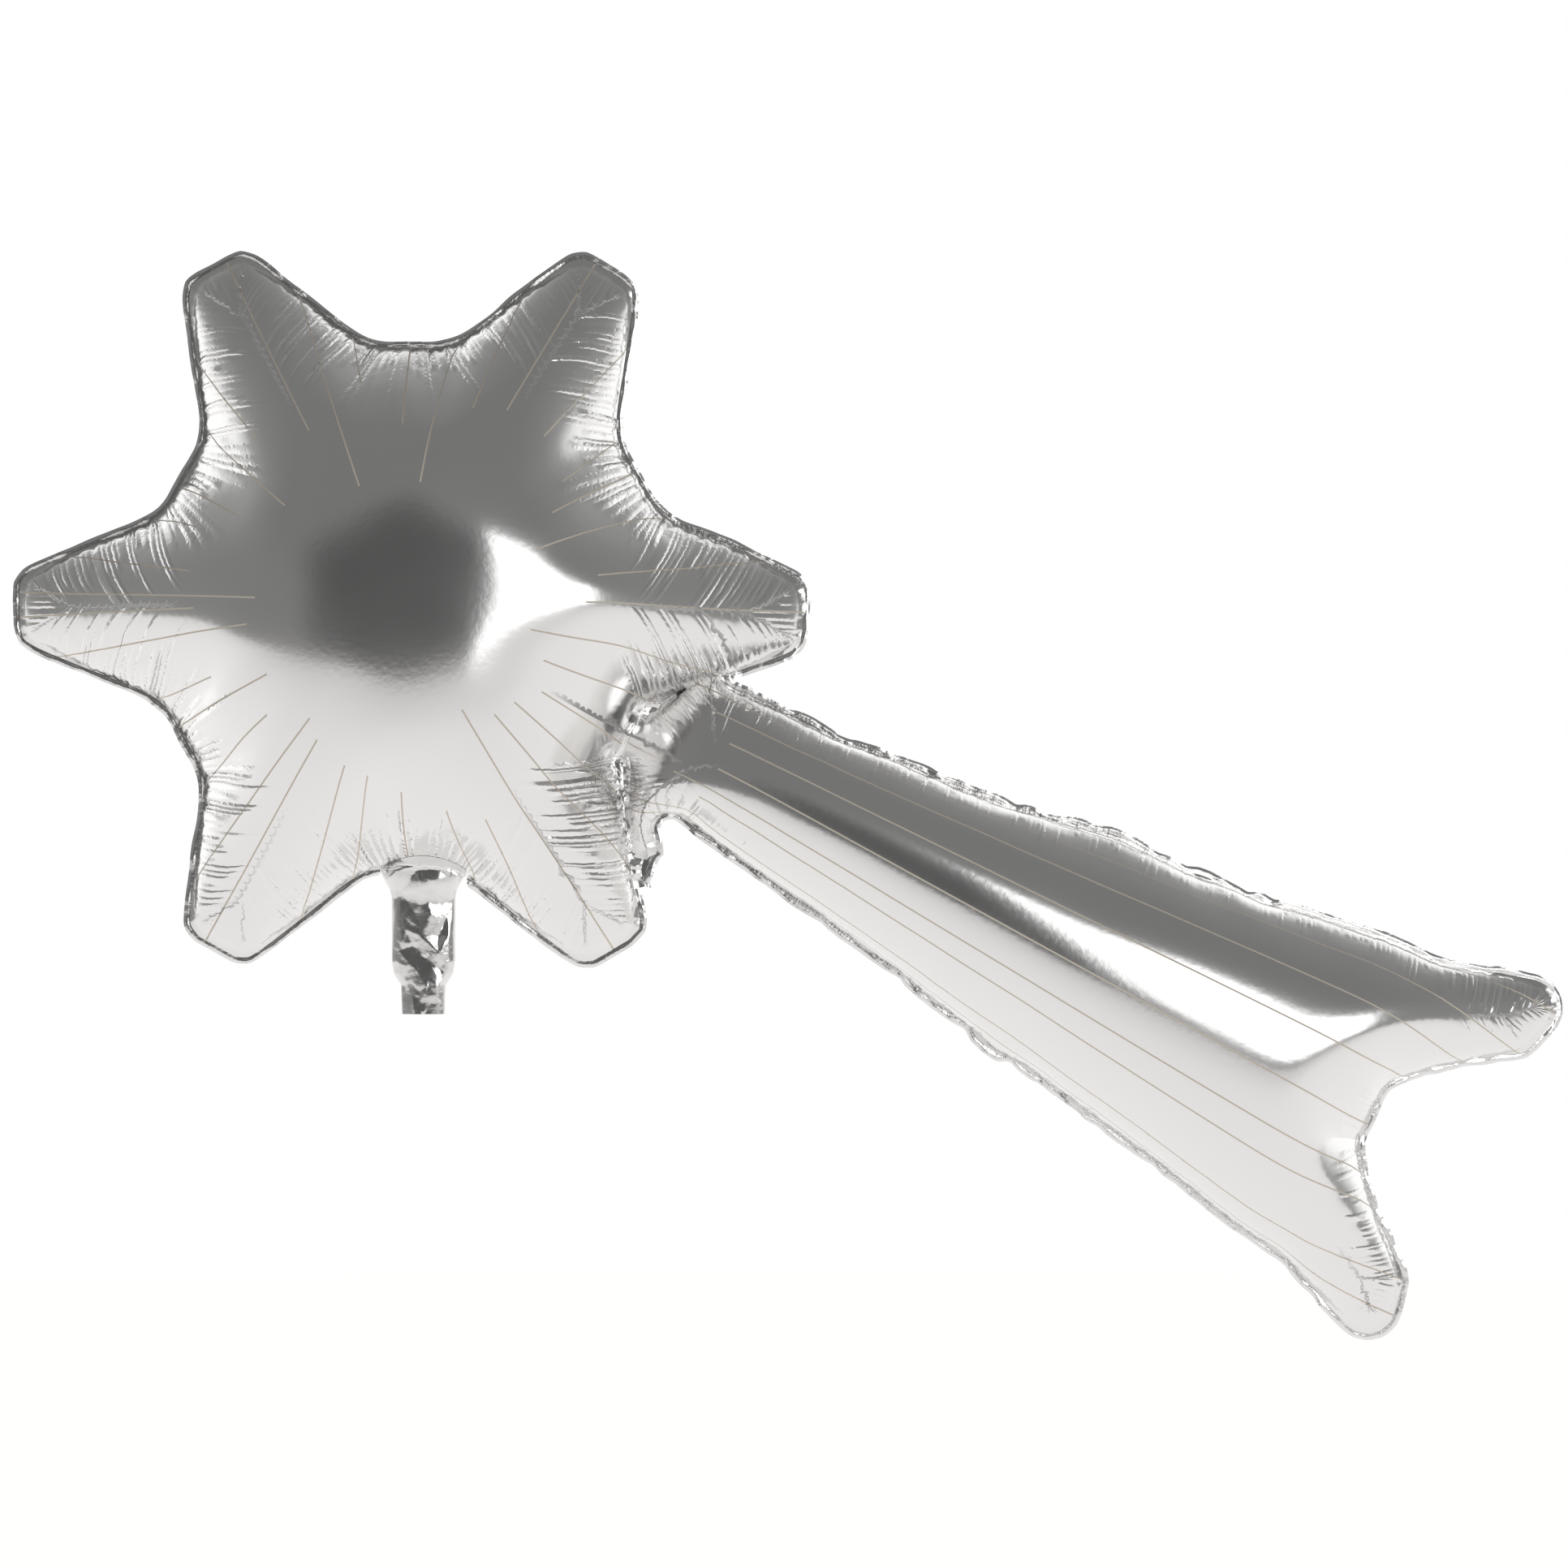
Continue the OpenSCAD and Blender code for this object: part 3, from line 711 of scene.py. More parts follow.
def finished(name, bm):
    """An object for a finished bmesh, shaded smooth."""
    mesh = bpy.data.meshes.new(name)
    bm.to_mesh(mesh)
    bm.free()
    for polygon in mesh.polygons:
        polygon.use_smooth = True
    piece = bpy.data.objects.new(name, mesh)
    scene.collection.objects.link(piece)
    return piece


def one_foil(name, side):
    bm = bmesh.new()
    bm.from_mesh(foil_mesh)
    cut = bm.verts.layers.float_vector["cut"]
    other = [face for face in bm.faces if sum(vert[cut].y for vert in face.verts) * side < 0]
    bmesh.ops.delete(bm, geom=other, context="FACES")
    bm.edges.layers.float.remove(bm.edges.layers.float["crease_edge"])
    piece = finished(name, bm)
    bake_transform(piece, "star", "tail", start=on_axis(BLEND_START), end=on_axis(BLEND_END))
    print(name, len(piece.data.polygons) * 2, "triangles")
    return piece


foil_front = one_foil("foil_front", -1)
foil_back = one_foil("foil_back", 1)
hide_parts("star_front_panel", "tail_root_front_panel", "tail_front_panel")
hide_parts("star_back_panel", "tail_root_back_panel", "tail_back_panel")

# %% [markdown]
# ## The weld margin
# Outside the weld the two foils run on together for a few millimetres as a flat hem. The weld has drawn
# in, so the hem is too long for it and stands up in little ruffles, most of all at the tips. The hot bar
# that made the weld has left a low bead along it.
# It is a grid wrapped along the seam: one direction follows the weld, the other goes outwards. The same
# helper wraps the welds at the streamer's notch and the neck.

# %% A grid wrapped over a shape
def wrapped_grid(columns, rows, place, facing=-1):
    """A grid whose points go where place(u, v) says, for u and v from 0 to 1, with its faces to the front
    or, for a facing of 1, to the back."""
    bm = bmesh.new()
    bmesh.ops.create_grid(bm, x_segments=columns, y_segments=rows, size=1)
    for vert in bm.verts:
        vert.co = place((vert.co.x + 1) / 2, (vert.co.y + 1) / 2)
    bm.normal_update()
    if sum(face.normal.y * face.calc_area() for face in bm.faces) * facing < 0:
        bmesh.ops.reverse_faces(bm, faces=bm.faces[:])
    return bm


def noise_table(size, seed):
    return np.random.default_rng(seed).uniform(-1, 1, size)


def ruffle(run, width, table):
    """A smooth random wave along a length, with one random value for each width."""
    place = run / width
    low = int(math.floor(place))
    part = place - low
    part = part * part * (3 - 2 * part)
    return table[low % len(table)] * (1 - part) + table[(low + 1) % len(table)] * part


class Seam:
    """A stretch of the blown weld, with its length, its smooth outward direction and its squeeze."""

    def __init__(self, *runs):
        self.points = np.concatenate([seam_points[name] for name in runs])
        cuts = np.concatenate([fine_flat[seam[name]][:, [0, 2]] for name in runs])
        steps = np.linalg.norm(np.diff(self.points, axis=0), axis=1)
        self.at = np.concatenate([[0], np.cumsum(steps)])
        self.length = float(self.at[-1])
        self.squeeze = np.array([squeeze_at(cut) for cut in cuts])
        soft = np.stack([np.convolve(np.pad(self.points[:, axis], 4, mode="edge"), np.ones(9) / 9, "valid")
                         for axis in (0, 2)], axis=1)
        tangent = np.gradient(soft, axis=0)
        tangent /= np.linalg.norm(tangent, axis=1)[:, None] + 1e-9
        self.outward = np.stack([tangent[:, 1], np.zeros(len(tangent)), -tangent[:, 0]], axis=1)

    def at_run(self, values, run):
        if values.ndim == 1:
            return float(np.interp(run, self.at, values))
        return np.array([np.interp(run, self.at, values[:, axis]) for axis in range(values.shape[1])])


# %% The margins of the star and of the streamer
WELD_WIDTH = 0.0042
BEAD = 0.00035
TUCK = 0.0004
# Ruffles of two widths. Each height is a little everywhere, and more with the root of the squeeze.
RUFFLE_WIDTH, RUFFLE_LEAST, RUFFLE_MORE = 0.0085, 0.0003, 0.0030
SMALL_WIDTH, SMALL_LEAST, SMALL_MORE = 0.0030, 0.0001, 0.0010
UNEVEN = 0.0006
MARGIN_STEP, MARGIN_ROWS = 0.0013, 8
TABLE_SIZE = 4096


def weld_margin(line, seed):
    coarse_table, fine_table, slip_table = (noise_table(TABLE_SIZE, seed + more) for more in range(3))

    def place(u, v):
        run = u * line.length
        out = v * (WELD_WIDTH + TUCK) - TUCK
        crowding = math.sqrt(line.at_run(line.squeeze, run))
        stand = ruffle(run, RUFFLE_WIDTH, coarse_table) * (RUFFLE_LEAST + RUFFLE_MORE * crowding)
        stand += ruffle(run, SMALL_WIDTH, fine_table) * (SMALL_LEAST + SMALL_MORE * crowding)
        stand += BEAD * math.cos(2 * math.pi * v)
        slip = ruffle(run, 2 * RUFFLE_WIDTH, slip_table) * UNEVEN * v
        point = line.at_run(line.points, run) + line.at_run(line.outward, run) * (out + slip)
        return Vector((point[0], point[1] + stand * max(0.0, out) / WELD_WIDTH, point[2]))

    return wrapped_grid(round(line.length / MARGIN_STEP), MARGIN_ROWS, place)


# The star's margin is left out where the neck comes out of the star.
NECK_ROOT_HALF, NECK_ROOT_TOP = 0.028, 0.03
star_margin_mesh = weld_margin(Seam("star"), 11)
throat = [face for face in star_margin_mesh.faces
          if abs(face.calc_center_median().x) < NECK_ROOT_HALF and face.calc_center_median().z < NECK_ROOT_TOP]
bmesh.ops.delete(star_margin_mesh, geom=throat, context="FACES")
star_margin = finished("star_margin", star_margin_mesh)
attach(star_margin, "star")
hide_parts("star_weld_seam")

streamer_margin = finished("streamer_margin", weld_margin(Seam("streamer"), 17))
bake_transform(streamer_margin, "star", "tail", start=on_axis(BLEND_START), end=on_axis(BLEND_END))
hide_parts("tail_root_weld_seam", "tail_weld_seam")
print("margins", len(star_margin.data.polygons), "and", len(streamer_margin.data.polygons), "faces")

# %% [markdown]
# ## The welds at the streamer's notch
# Between the star and the streamer the two foils are pressed together along two short lines. The blown
# foils pull at them from both sides, so each weld is a narrow crumpled web. Its two long edges are the
# two sides of the slit, and its ruffles cross it.

# %% Webs across the two slits
WEB_RUFFLE_WIDTH, WEB_RUFFLE = 0.005, 0.0016
WEB_SMALL_WIDTH, WEB_SMALL, WEB_SLANT = 0.0022, 0.0006, 0.0024
WEB_STEP, WEB_ROWS = 0.001, 8


def weld_web(name, near, far, seed, node):
    near_line, far_line = Seam(near), Seam(far)
    table, cross_table = noise_table(512, seed), noise_table(512, seed + 1)

    def place(u, v):
        start = near_line.at_run(near_line.points, u * near_line.length)
        end = far_line.at_run(far_line.points, (1 - u) * far_line.length)
        point = start + (end - start) * v
        run = u * near_line.length
        stand = (ruffle(run, WEB_RUFFLE_WIDTH, table) * WEB_RUFFLE
                 + ruffle(run + WEB_SLANT * v, WEB_SMALL_WIDTH, cross_table) * WEB_SMALL) * math.sin(math.pi * v)
        return Vector((point[0], point[1] + stand, point[2]))

    piece = finished(name, wrapped_grid(round(near_line.length / WEB_STEP), WEB_ROWS, place))
    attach(piece, "star")
    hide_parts(node)
    print(name, len(piece.data.polygons), "faces,", round(near_line.length * 1000), "mm long")
    return piece


lower_web = weld_web("notch_web_lower", "lower_slit_near", "lower_slit_far", 23, "notch_weld_lower")
upper_web = weld_web("notch_web_upper", "upper_slit_near", "upper_slit_far", 29, "notch_weld_upper")

# %% [markdown]
# ## The filling neck
# The neck is a flat tube of the same foil, welded down its two sides. It flares where it leaves the star,
# has been gripped and folded when the balloon was filled, and so is crumpled into flat facets with sharp
# creases. Triangles between scattered corners, each corner lifted by its own random share, give just
# that. The sheet's grid asks them for its height. The top lies on the star's foil, the mouth is open, and
# at the throat the two sheets stand apart enough for the valve films to open between them.

# %% Neck sheets
neck_low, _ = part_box("neck_front_foil")
NECK_TOP, NECK_DROOP, NECK_FOOT = 0.0195, 0.009, neck_low.z
ROOT_FROM, ROOT_FADE, ROOT_CLEAR = 0.004, 0.006, 0.0003
VALVE_ROOM, VALVE_FROM, VALVE_TO = 0.0028, -0.012, 0.006
SIDE_FADE = 0.004
NECK_COLUMNS, NECK_ROWS = 56, 112
# How high up, and how wide half of the neck is there.
NECK_PROFILE = [(0.0215, 0.0295), (0.014, 0.0285), (0.006, 0.0262), (-0.002, 0.0217), (-0.008, 0.0204),
                (-0.048, 0.0204), (-0.056, 0.0190), (-0.063, 0.0146), (-0.082, 0.0140)]
NECK_HALF_GAP = 0.0034
# Two sizes of facet: how far apart their corners are, and how far the corners stand out.
FACETS = [(0.0105, 0.0019), (0.0042, 0.00045)]
heights_of_profile = [height for height, _ in reversed(NECK_PROFILE)]
halves_of_profile = [half for _, half in reversed(NECK_PROFILE)]
foil_trees = {side: BVHTree.FromObject(piece, bpy.context.evaluated_depsgraph_get())
              for side, piece in ((-1, foil_front), (1, foil_back))}


FACET_WIDTH, FACET_HEIGHTS = (-0.045, 0.046), (-0.095, 0.036)
FACET_SCATTER, FACET_TALLER = 0.42, 1.25


def facets(size, stand, seed):
    """A crumpled sheet of flat triangles between scattered corners, to be asked for its height."""
    chance = np.random.default_rng(seed)
    columns, rows = np.meshgrid(np.arange(*FACET_WIDTH, size), np.arange(*FACET_HEIGHTS, size * FACET_TALLER))
    corners = np.stack([columns.ravel(), rows.ravel()], axis=1)
    corners += chance.uniform(-FACET_SCATTER, FACET_SCATTER, corners.shape) * size
    placed, _, triangles, _, _, _ = delaunay_2d_cdt([Vector(corner) for corner in corners], [], [], 0, 1e-7)
    lifts = chance.uniform(0, stand, len(placed))
    return BVHTree.FromPolygons([(x, lift, z) for (x, z), lift in zip(placed, lifts)], triangles)


def facet_height(layers, x, z):
    return sum(layer.ray_cast((x, 1, z), (0, -1, 0))[0].y for layer in layers)


def neck_sheet(name, side, seed, nodes):
    layers = [facets(size, stand, seed + place) for place, (size, stand) in enumerate(FACETS)]

    def place(u, v):
        top = NECK_TOP - NECK_DROOP * (2 * u - 1) ** 2
        z = top + (NECK_FOOT - top) * v
        half = float(np.interp(z, heights_of_profile, halves_of_profile))
        x = (2 * u - 1) * half
        open_share = math.sqrt(max(0.0, 1 - (2 * u - 1) ** 2))
        side_fade = min(1.0, (1 - abs(2 * u - 1)) * half / SIDE_FADE)
        valve_room = VALVE_ROOM * float(rising(z, VALVE_FROM, VALVE_TO))
        stand = (NECK_HALF_GAP + valve_room) * open_share + facet_height(layers, x, z) * side_fade
        if z > ROOT_FROM:
            hit, _, _, _ = foil_trees[side].ray_cast((x, side, z), (0, -side, 0))
            if hit is not None:
                lift = min(1.0, (top - z) / ROOT_FADE)
                stand = abs(hit.y) + ROOT_CLEAR + lift * max(ROOT_CLEAR, stand - abs(hit.y))
        return Vector((x, side * stand, z))

    piece = finished(name, wrapped_grid(NECK_COLUMNS, NECK_ROWS, place, facing=side))
    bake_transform(piece, "star", "neck", start=(0, 0, 0.006), end=(0, 0, -0.006))
    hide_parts(*nodes)
    print(name, len(piece.data.polygons), "faces")
    return piece


neck_front = neck_sheet("neck_front_sheet", -1, 37, ["neck_root_front", "neck_front_foil", "neck_side_welds"])
neck_back = neck_sheet("neck_back_sheet", 1, 41, ["neck_root_back", "neck_back_foil"])

# %% [markdown]
# ## The sheets
# Each foil is a sheet held by its weld and stretched by the gas. The margins and webs are the hems of
# those sheets.

# %% [markdown]
# ## Finishes
# The foil is nylon film with a vapour-deposited metal coat: a mirror, only slightly softened by the
# film's own texture, so a metallic shader of low roughness. The texture is a shared node group, a faint
# cloudiness of roughness and a fine crinkle as a bump, used by each foil with its own strength.
# The printed lines are a matte champagne ink. On paper they would be drawn as an image. Here they are
# worked out from the flat cut with maths nodes, so they are sharp at any size.

# %% Helpers for node trees
def wired(tree, kind, inputs=(), **settings):
    """A node with its settings, whose inputs are given as values or as sockets to link."""
    node = tree.nodes.new(kind)
    for name, value in settings.items():
        setattr(node, name, value)
    for name, value in dict(inputs).items():
        if isinstance(value, bpy.types.NodeSocket):
            tree.links.new(value, node.inputs[name])
        else:
            node.inputs[name].default_value = value
    return node


def worked(tree, operation, *values):
    return wired(tree, "ShaderNodeMath", dict(enumerate(values)), operation=operation).outputs[0]


def new_group(name, inputs, outputs):
    """A shader node group with named sockets: each input is (name, type, value) and each output (name, type)."""
    group = bpy.data.node_groups.new(name, "ShaderNodeTree")
    for socket_name, kind, value in inputs:
        socket = group.interface.new_socket(socket_name, in_out="INPUT", socket_type=kind)
        if value is not None:
            socket.default_value = value
    for socket_name, kind in outputs:
        group.interface.new_socket(socket_name, in_out="OUTPUT", socket_type=kind)
    return group, group.nodes.new("NodeGroupInput").outputs, group.nodes.new("NodeGroupOutput").inputs


def new_material(name):
    material = bpy.data.materials.new(name)
    material.use_nodes = True
    return material, material.node_tree, material.node_tree.nodes["Principled BSDF"]


# %% The film's texture, shared by every foil
film_group, film_in, film_out = new_group(
    "film_texture",
    [("Vector", "NodeSocketVector", None), ("Roughness", "NodeSocketFloat", 0.12),
     ("Cloudiness", "NodeSocketFloat", 0.04), ("Crinkle Size", "NodeSocketFloat", 0.01)],
    [("Roughness", "NodeSocketFloat"), ("Height", "NodeSocketFloat")])
clouds = wired(film_group, "ShaderNodeTexNoise", {"Vector": film_in["Vector"], "Scale": 22.0, "Detail": 3.0})
swing_of_clouds = worked(film_group, "SUBTRACT", clouds.outputs["Fac"], 0.5)
rough = worked(film_group, "MULTIPLY_ADD", swing_of_clouds, film_in["Cloudiness"], film_in["Roughness"])
crinkle_scale = worked(film_group, "DIVIDE", 1.0, film_in["Crinkle Size"])
crinkle = wired(film_group, "ShaderNodeTexNoise", {
    "Vector": film_in["Vector"], "Scale": crinkle_scale, "Detail": 2.0})
film_group.links.new(rough, film_out["Roughness"])
film_group.links.new(crinkle.outputs["Fac"], film_out["Height"])
print("film_texture:", len(film_group.nodes), "nodes")

# %% [markdown]
# ## The finest pleats
# They are drawn as a bump from the weld attribute: distance along the weld, distance in from it, and the
# rise that takes up the squeeze. Each pleat is one cell of the first distance, with its own height and
# its own reach, and the arch between its two sharp valleys is the upper half of a sine.

# %% Fine pleats as a height
PLEATS_FROM, PLEATS_FULL = 0.004, 0.017


def random_of(tree, number):
    return wired(tree, "ShaderNodeTexWhiteNoise", {"W": number}, noise_dimensions="1D").outputs["Value"]


pleat_group, pleat_in, pleat_out = new_group(
    "fine_pleats", [("Weld", "NodeSocketVector", None), ("Width", "NodeSocketFloat", 0.0042),
                    ("Reach", "NodeSocketFloat", 0.058), ("Share", "NodeSocketFloat", 1.15)],
    [("Height", "NodeSocketFloat")])
weld_parts = wired(pleat_group, "ShaderNodeSeparateXYZ", {"Vector": pleat_in["Weld"]}).outputs
unevenness = wired(pleat_group, "ShaderNodeTexNoise", {"W": worked(
    pleat_group, "DIVIDE", weld_parts["X"], worked(pleat_group, "MULTIPLY", pleat_in["Width"], 3.0)),
    "Scale": 1.0, "Detail": 1.0}, noise_dimensions="1D").outputs["Fac"]
pleat_row = worked(pleat_group, "MULTIPLY_ADD", unevenness, 1.6,
                   worked(pleat_group, "DIVIDE", weld_parts["X"], pleat_in["Width"]))
pleat_cell = worked(pleat_group, "FLOOR", pleat_row)
pleat_arch = worked(pleat_group, "ABSOLUTE", worked(pleat_group, "SINE", worked(
    pleat_group, "MULTIPLY", pleat_row, math.pi)))
cell_height = random_of(pleat_group, pleat_cell)
cell_reach = random_of(pleat_group, worked(pleat_group, "ADD", pleat_cell, 0.5))
reach_here = worked(pleat_group, "MULTIPLY", worked(
    pleat_group, "MULTIPLY", pleat_in["Reach"], worked(pleat_group, "MULTIPLY_ADD", cell_reach, 0.7, 0.4)),
    worked(pleat_group, "MULTIPLY_ADD", weld_parts["Z"], 6.0, 0.3))
pleat_fade = wired(pleat_group, "ShaderNodeMapRange", {
    "Value": weld_parts["Y"], "From Min": reach_here,
    "From Max": worked(pleat_group, "MULTIPLY", reach_here, 0.7)}, interpolation_type="SMOOTHSTEP")
pleat_onset = wired(pleat_group, "ShaderNodeMapRange", {
    "Value": weld_parts["Y"], "From Min": PLEATS_FROM, "From Max": PLEATS_FULL})
pleat_height = worked(pleat_group, "MULTIPLY", worked(
    pleat_group, "MULTIPLY", pleat_arch, worked(pleat_group, "MULTIPLY_ADD", cell_height, 0.9, 0.25)),
    worked(pleat_group, "MULTIPLY", weld_parts["Z"],
           worked(pleat_group, "MULTIPLY", pleat_in["Width"], pleat_in["Share"])))
pleat_height = worked(pleat_group, "MULTIPLY", pleat_height, worked(
    pleat_group, "MULTIPLY", pleat_fade.outputs["Result"], pleat_onset.outputs["Result"]))
pleat_group.links.new(pleat_height, pleat_out["Height"])
print("fine_pleats:", len(pleat_group.nodes), "nodes")

# %% [markdown]
# ## The printed lines
# On the star, thin rays run out from around the centre, each starting at its own distance. On the
# streamer, thin lines run along it and spread a little towards the fork. Both are the same idea: a place
# is given a row number, each row shifts its line by its own random share, and the ink is where the
# distance to the line is under half its width. The notch line tells which of the two patterns applies.

# %% Ink as a mask over the cut
RAY_COUNT, RAY_FIRST, RAY_LAST = 36, 0.070, 0.165
LINE_ORIGIN, LINE_SPREAD, LINE_LIMIT = 0.117, 0.038, 4.4
LINE_FIRST, LINE_LAST = 0.215, 0.30

ink_group, ink_in, ink_out = new_group(
    "printed_lines", [("Cut", "NodeSocketVector", None), ("Line Width", "NodeSocketFloat", 0.0011)],
    [("Ink", "NodeSocketFloat")])
cut_parts = wired(ink_group, "ShaderNodeSeparateXYZ", {"Vector": ink_in["Cut"]}).outputs
half_line = worked(ink_group, "MULTIPLY", ink_in["Line Width"], 0.5)


def ink_of(distance):
    """1 inside half the line's width, fading to 0 over a fifth of it."""
    return wired(ink_group, "ShaderNodeMapRange", {
        "Value": distance, "From Min": worked(ink_group, "MULTIPLY", half_line, 1.1),
        "From Max": worked(ink_group, "MULTIPLY", half_line, 0.9)}).outputs["Result"]


cut_reach = wired(ink_group, "ShaderNodeVectorMath", {0: wired(ink_group, "ShaderNodeCombineXYZ", {
    "X": cut_parts["X"], "Y": cut_parts["Z"]}).outputs[0]}, operation="LENGTH").outputs["Value"]
heading = worked(ink_group, "MULTIPLY", worked(ink_group, "ARCTAN2", cut_parts["Z"], cut_parts["X"]),
                 RAY_COUNT / math.tau)
ray = worked(ink_group, "ROUND", heading)
ray_random = random_of(ink_group, ray)
off_ray = worked(ink_group, "SUBTRACT", worked(ink_group, "SUBTRACT", heading, ray),
                 worked(ink_group, "MULTIPLY_ADD", ray_random, 0.44, -0.22))
ray_distance = worked(ink_group, "MULTIPLY", worked(ink_group, "ABSOLUTE", off_ray),
                      worked(ink_group, "MULTIPLY", cut_reach, math.tau / RAY_COUNT))
ray_start = worked(ink_group, "MULTIPLY_ADD", random_of(ink_group, worked(ink_group, "ADD", ray, 60.5)),
                   RAY_LAST - RAY_FIRST, RAY_FIRST)
ray_ink = worked(ink_group, "MULTIPLY", ink_of(ray_distance),
                 worked(ink_group, "GREATER_THAN", cut_reach, ray_start))

cut_length = worked(ink_group, "MULTIPLY_ADD", cut_parts["X"], float(along[0]),
                    worked(ink_group, "MULTIPLY", cut_parts["Z"], float(along[1])))
cut_side = worked(ink_group, "MULTIPLY_ADD", cut_parts["X"], float(across[0]),
                  worked(ink_group, "MULTIPLY", cut_parts["Z"], float(across[1])))
fan_length = worked(ink_group, "ADD", cut_length, LINE_ORIGIN)
fan = worked(ink_group, "DIVIDE", worked(ink_group, "DIVIDE", cut_side, fan_length), LINE_SPREAD)
line_row = worked(ink_group, "ROUND", fan)
line_random = random_of(ink_group, worked(ink_group, "ADD", line_row, 20.5))
off_line = worked(ink_group, "SUBTRACT", worked(ink_group, "SUBTRACT", fan, line_row),
                  worked(ink_group, "MULTIPLY_ADD", line_random, 0.4, -0.2))
line_distance = worked(ink_group, "MULTIPLY", worked(ink_group, "ABSOLUTE", off_line),
                       worked(ink_group, "MULTIPLY", fan_length, LINE_SPREAD))
line_start = worked(ink_group, "MULTIPLY_ADD", random_of(ink_group, worked(ink_group, "ADD", line_row, 40.5)),
                    LINE_LAST - LINE_FIRST, LINE_FIRST)
line_ink = worked(ink_group, "MULTIPLY", ink_of(line_distance),
                  worked(ink_group, "MULTIPLY", worked(ink_group, "GREATER_THAN", cut_length, line_start),
                         worked(ink_group, "LESS_THAN", worked(ink_group, "ABSOLUTE", line_row), LINE_LIMIT)))

streamer_from = worked(ink_group, "MULTIPLY_ADD", worked(ink_group, "ABSOLUTE", cut_side), NOTCH_SLOPE,
                       NOTCH_REACH)
on_streamer = worked(ink_group, "GREATER_THAN", cut_length, streamer_from)
ink_mask = wired(ink_group, "ShaderNodeMix", {"Factor": on_streamer, "A": ray_ink, "B": line_ink},
                 data_type="FLOAT").outputs["Result"]
ink_group.links.new(ink_mask, ink_out["Ink"])
print("printed_lines:", len(ink_group.nodes), "nodes")

# %% The foil materials
SILVER = (0.86, 0.855, 0.85, 1)
CHAMPAGNE = (0.66, 0.60, 0.51, 1)
INK_ROUGHNESS = 0.5
RELIEF_HEIGHT = 0.0002


def film(tree, vector, **values):
    named = {name.replace("_", " ").title(): value for name, value in values.items()}
    return wired(tree, "ShaderNodeGroup", {"Vector": vector, **named}, node_tree=film_group).outputs


def foil_material(name, roughness, cloudiness, crinkle_size, bump, pleated=False, printed=False):
    material, tree, shader = new_material(name)
    place = wired(tree, "ShaderNodeTexCoord").outputs["Object"]
    texture = film(tree, place, roughness=roughness, cloudiness=cloudiness, crinkle_size=crinkle_size)
    relief = wired(tree, "ShaderNodeBump", {
        "Height": texture["Height"], "Strength": bump, "Distance": RELIEF_HEIGHT})
    if pleated:
        weld_at = wired(tree, "ShaderNodeAttribute", attribute_name="weld").outputs["Vector"]
        pleats = wired(tree, "ShaderNodeGroup", {"Weld": weld_at}, node_tree=pleat_group)
        relief = wired(tree, "ShaderNodeBump", {"Height": pleats.outputs["Height"], "Distance": 1.0,
                                                "Normal": relief.outputs["Normal"]})
    tree.links.new(relief.outputs["Normal"], shader.inputs["Normal"])
    shader.inputs["Base Color"].default_value = SILVER
    shader.inputs["Metallic"].default_value = 1.0
    if not printed:
        tree.links.new(texture["Roughness"], shader.inputs["Roughness"])
        return material
    cut_place = wired(tree, "ShaderNodeAttribute", attribute_name="cut").outputs["Vector"]
    ink = wired(tree, "ShaderNodeGroup", {"Cut": cut_place}, node_tree=ink_group).outputs["Ink"]
    colour = wired(tree, "ShaderNodeMix", {"Factor": ink, "A": SILVER, "B": CHAMPAGNE}, data_type="RGBA")
    tree.links.new(colour.outputs["Result"], shader.inputs["Base Color"])
    rough_mix = wired(tree, "ShaderNodeMix", {
        "Factor": ink, "A": texture["Roughness"], "B": INK_ROUGHNESS}, data_type="FLOAT")
    tree.links.new(rough_mix.outputs["Result"], shader.inputs["Roughness"])
    tree.links.new(worked(tree, "SUBTRACT", 1.0, ink), shader.inputs["Metallic"])
    return material


printed_foil = foil_material("printed_foil", 0.17, 0.05, 0.004, 0.2, pleated=True, printed=True)
plain_foil = foil_material("plain_foil", 0.17, 0.05, 0.004, 0.2, pleated=True)
welded_foil = foil_material("welded_foil", 0.20, 0.12, 0.0022, 0.9)
crumpled_foil = foil_material("crumpled_foil", 0.16, 0.08, 0.003, 0.6)
for piece, material in [(foil_front, printed_foil), (foil_back, plain_foil), (star_margin, welded_foil),
                        (streamer_margin, welded_foil), (lower_web, welded_foil), (upper_web, welded_foil),
                        (neck_front, crumpled_foil), (neck_back, crumpled_foil)]:
    piece.data.materials.clear()
    piece.data.materials.append(material)

# %% [markdown]
# ## The valve
# Inside the neck two clear films lie face to face. Gas pushes in between them, and they press shut when
# it tries to come back. Their shapes come from the design, so they only get a finish: a clear, faintly
# cloudy film.

# %% Valve film
valve_film, valve_tree, valve_shader = new_material("valve_film")
valve_texture = film(valve_tree, wired(valve_tree, "ShaderNodeTexCoord").outputs["Object"],
                     roughness=0.22, cloudiness=0.1, crinkle_size=0.003)
valve_tree.links.new(valve_texture["Roughness"], valve_shader.inputs["Roughness"])
valve_relief = wired(valve_tree, "ShaderNodeBump", {
    "Height": valve_texture["Height"], "Strength": 0.4, "Distance": RELIEF_HEIGHT})
valve_tree.links.new(valve_relief.outputs["Normal"], valve_shader.inputs["Normal"])
valve_shader.inputs["Base Color"].default_value = (0.82, 0.84, 0.86, 1)
valve_shader.inputs["Alpha"].default_value = 0.6
for name in ("valve_sleeve_front", "valve_sleeve_back", "valve_flap_front", "valve_flap_back"):
    for place in frame["nodes"][name].material_slots:
        place.material = valve_film
print("valve film on four CAD nodes")
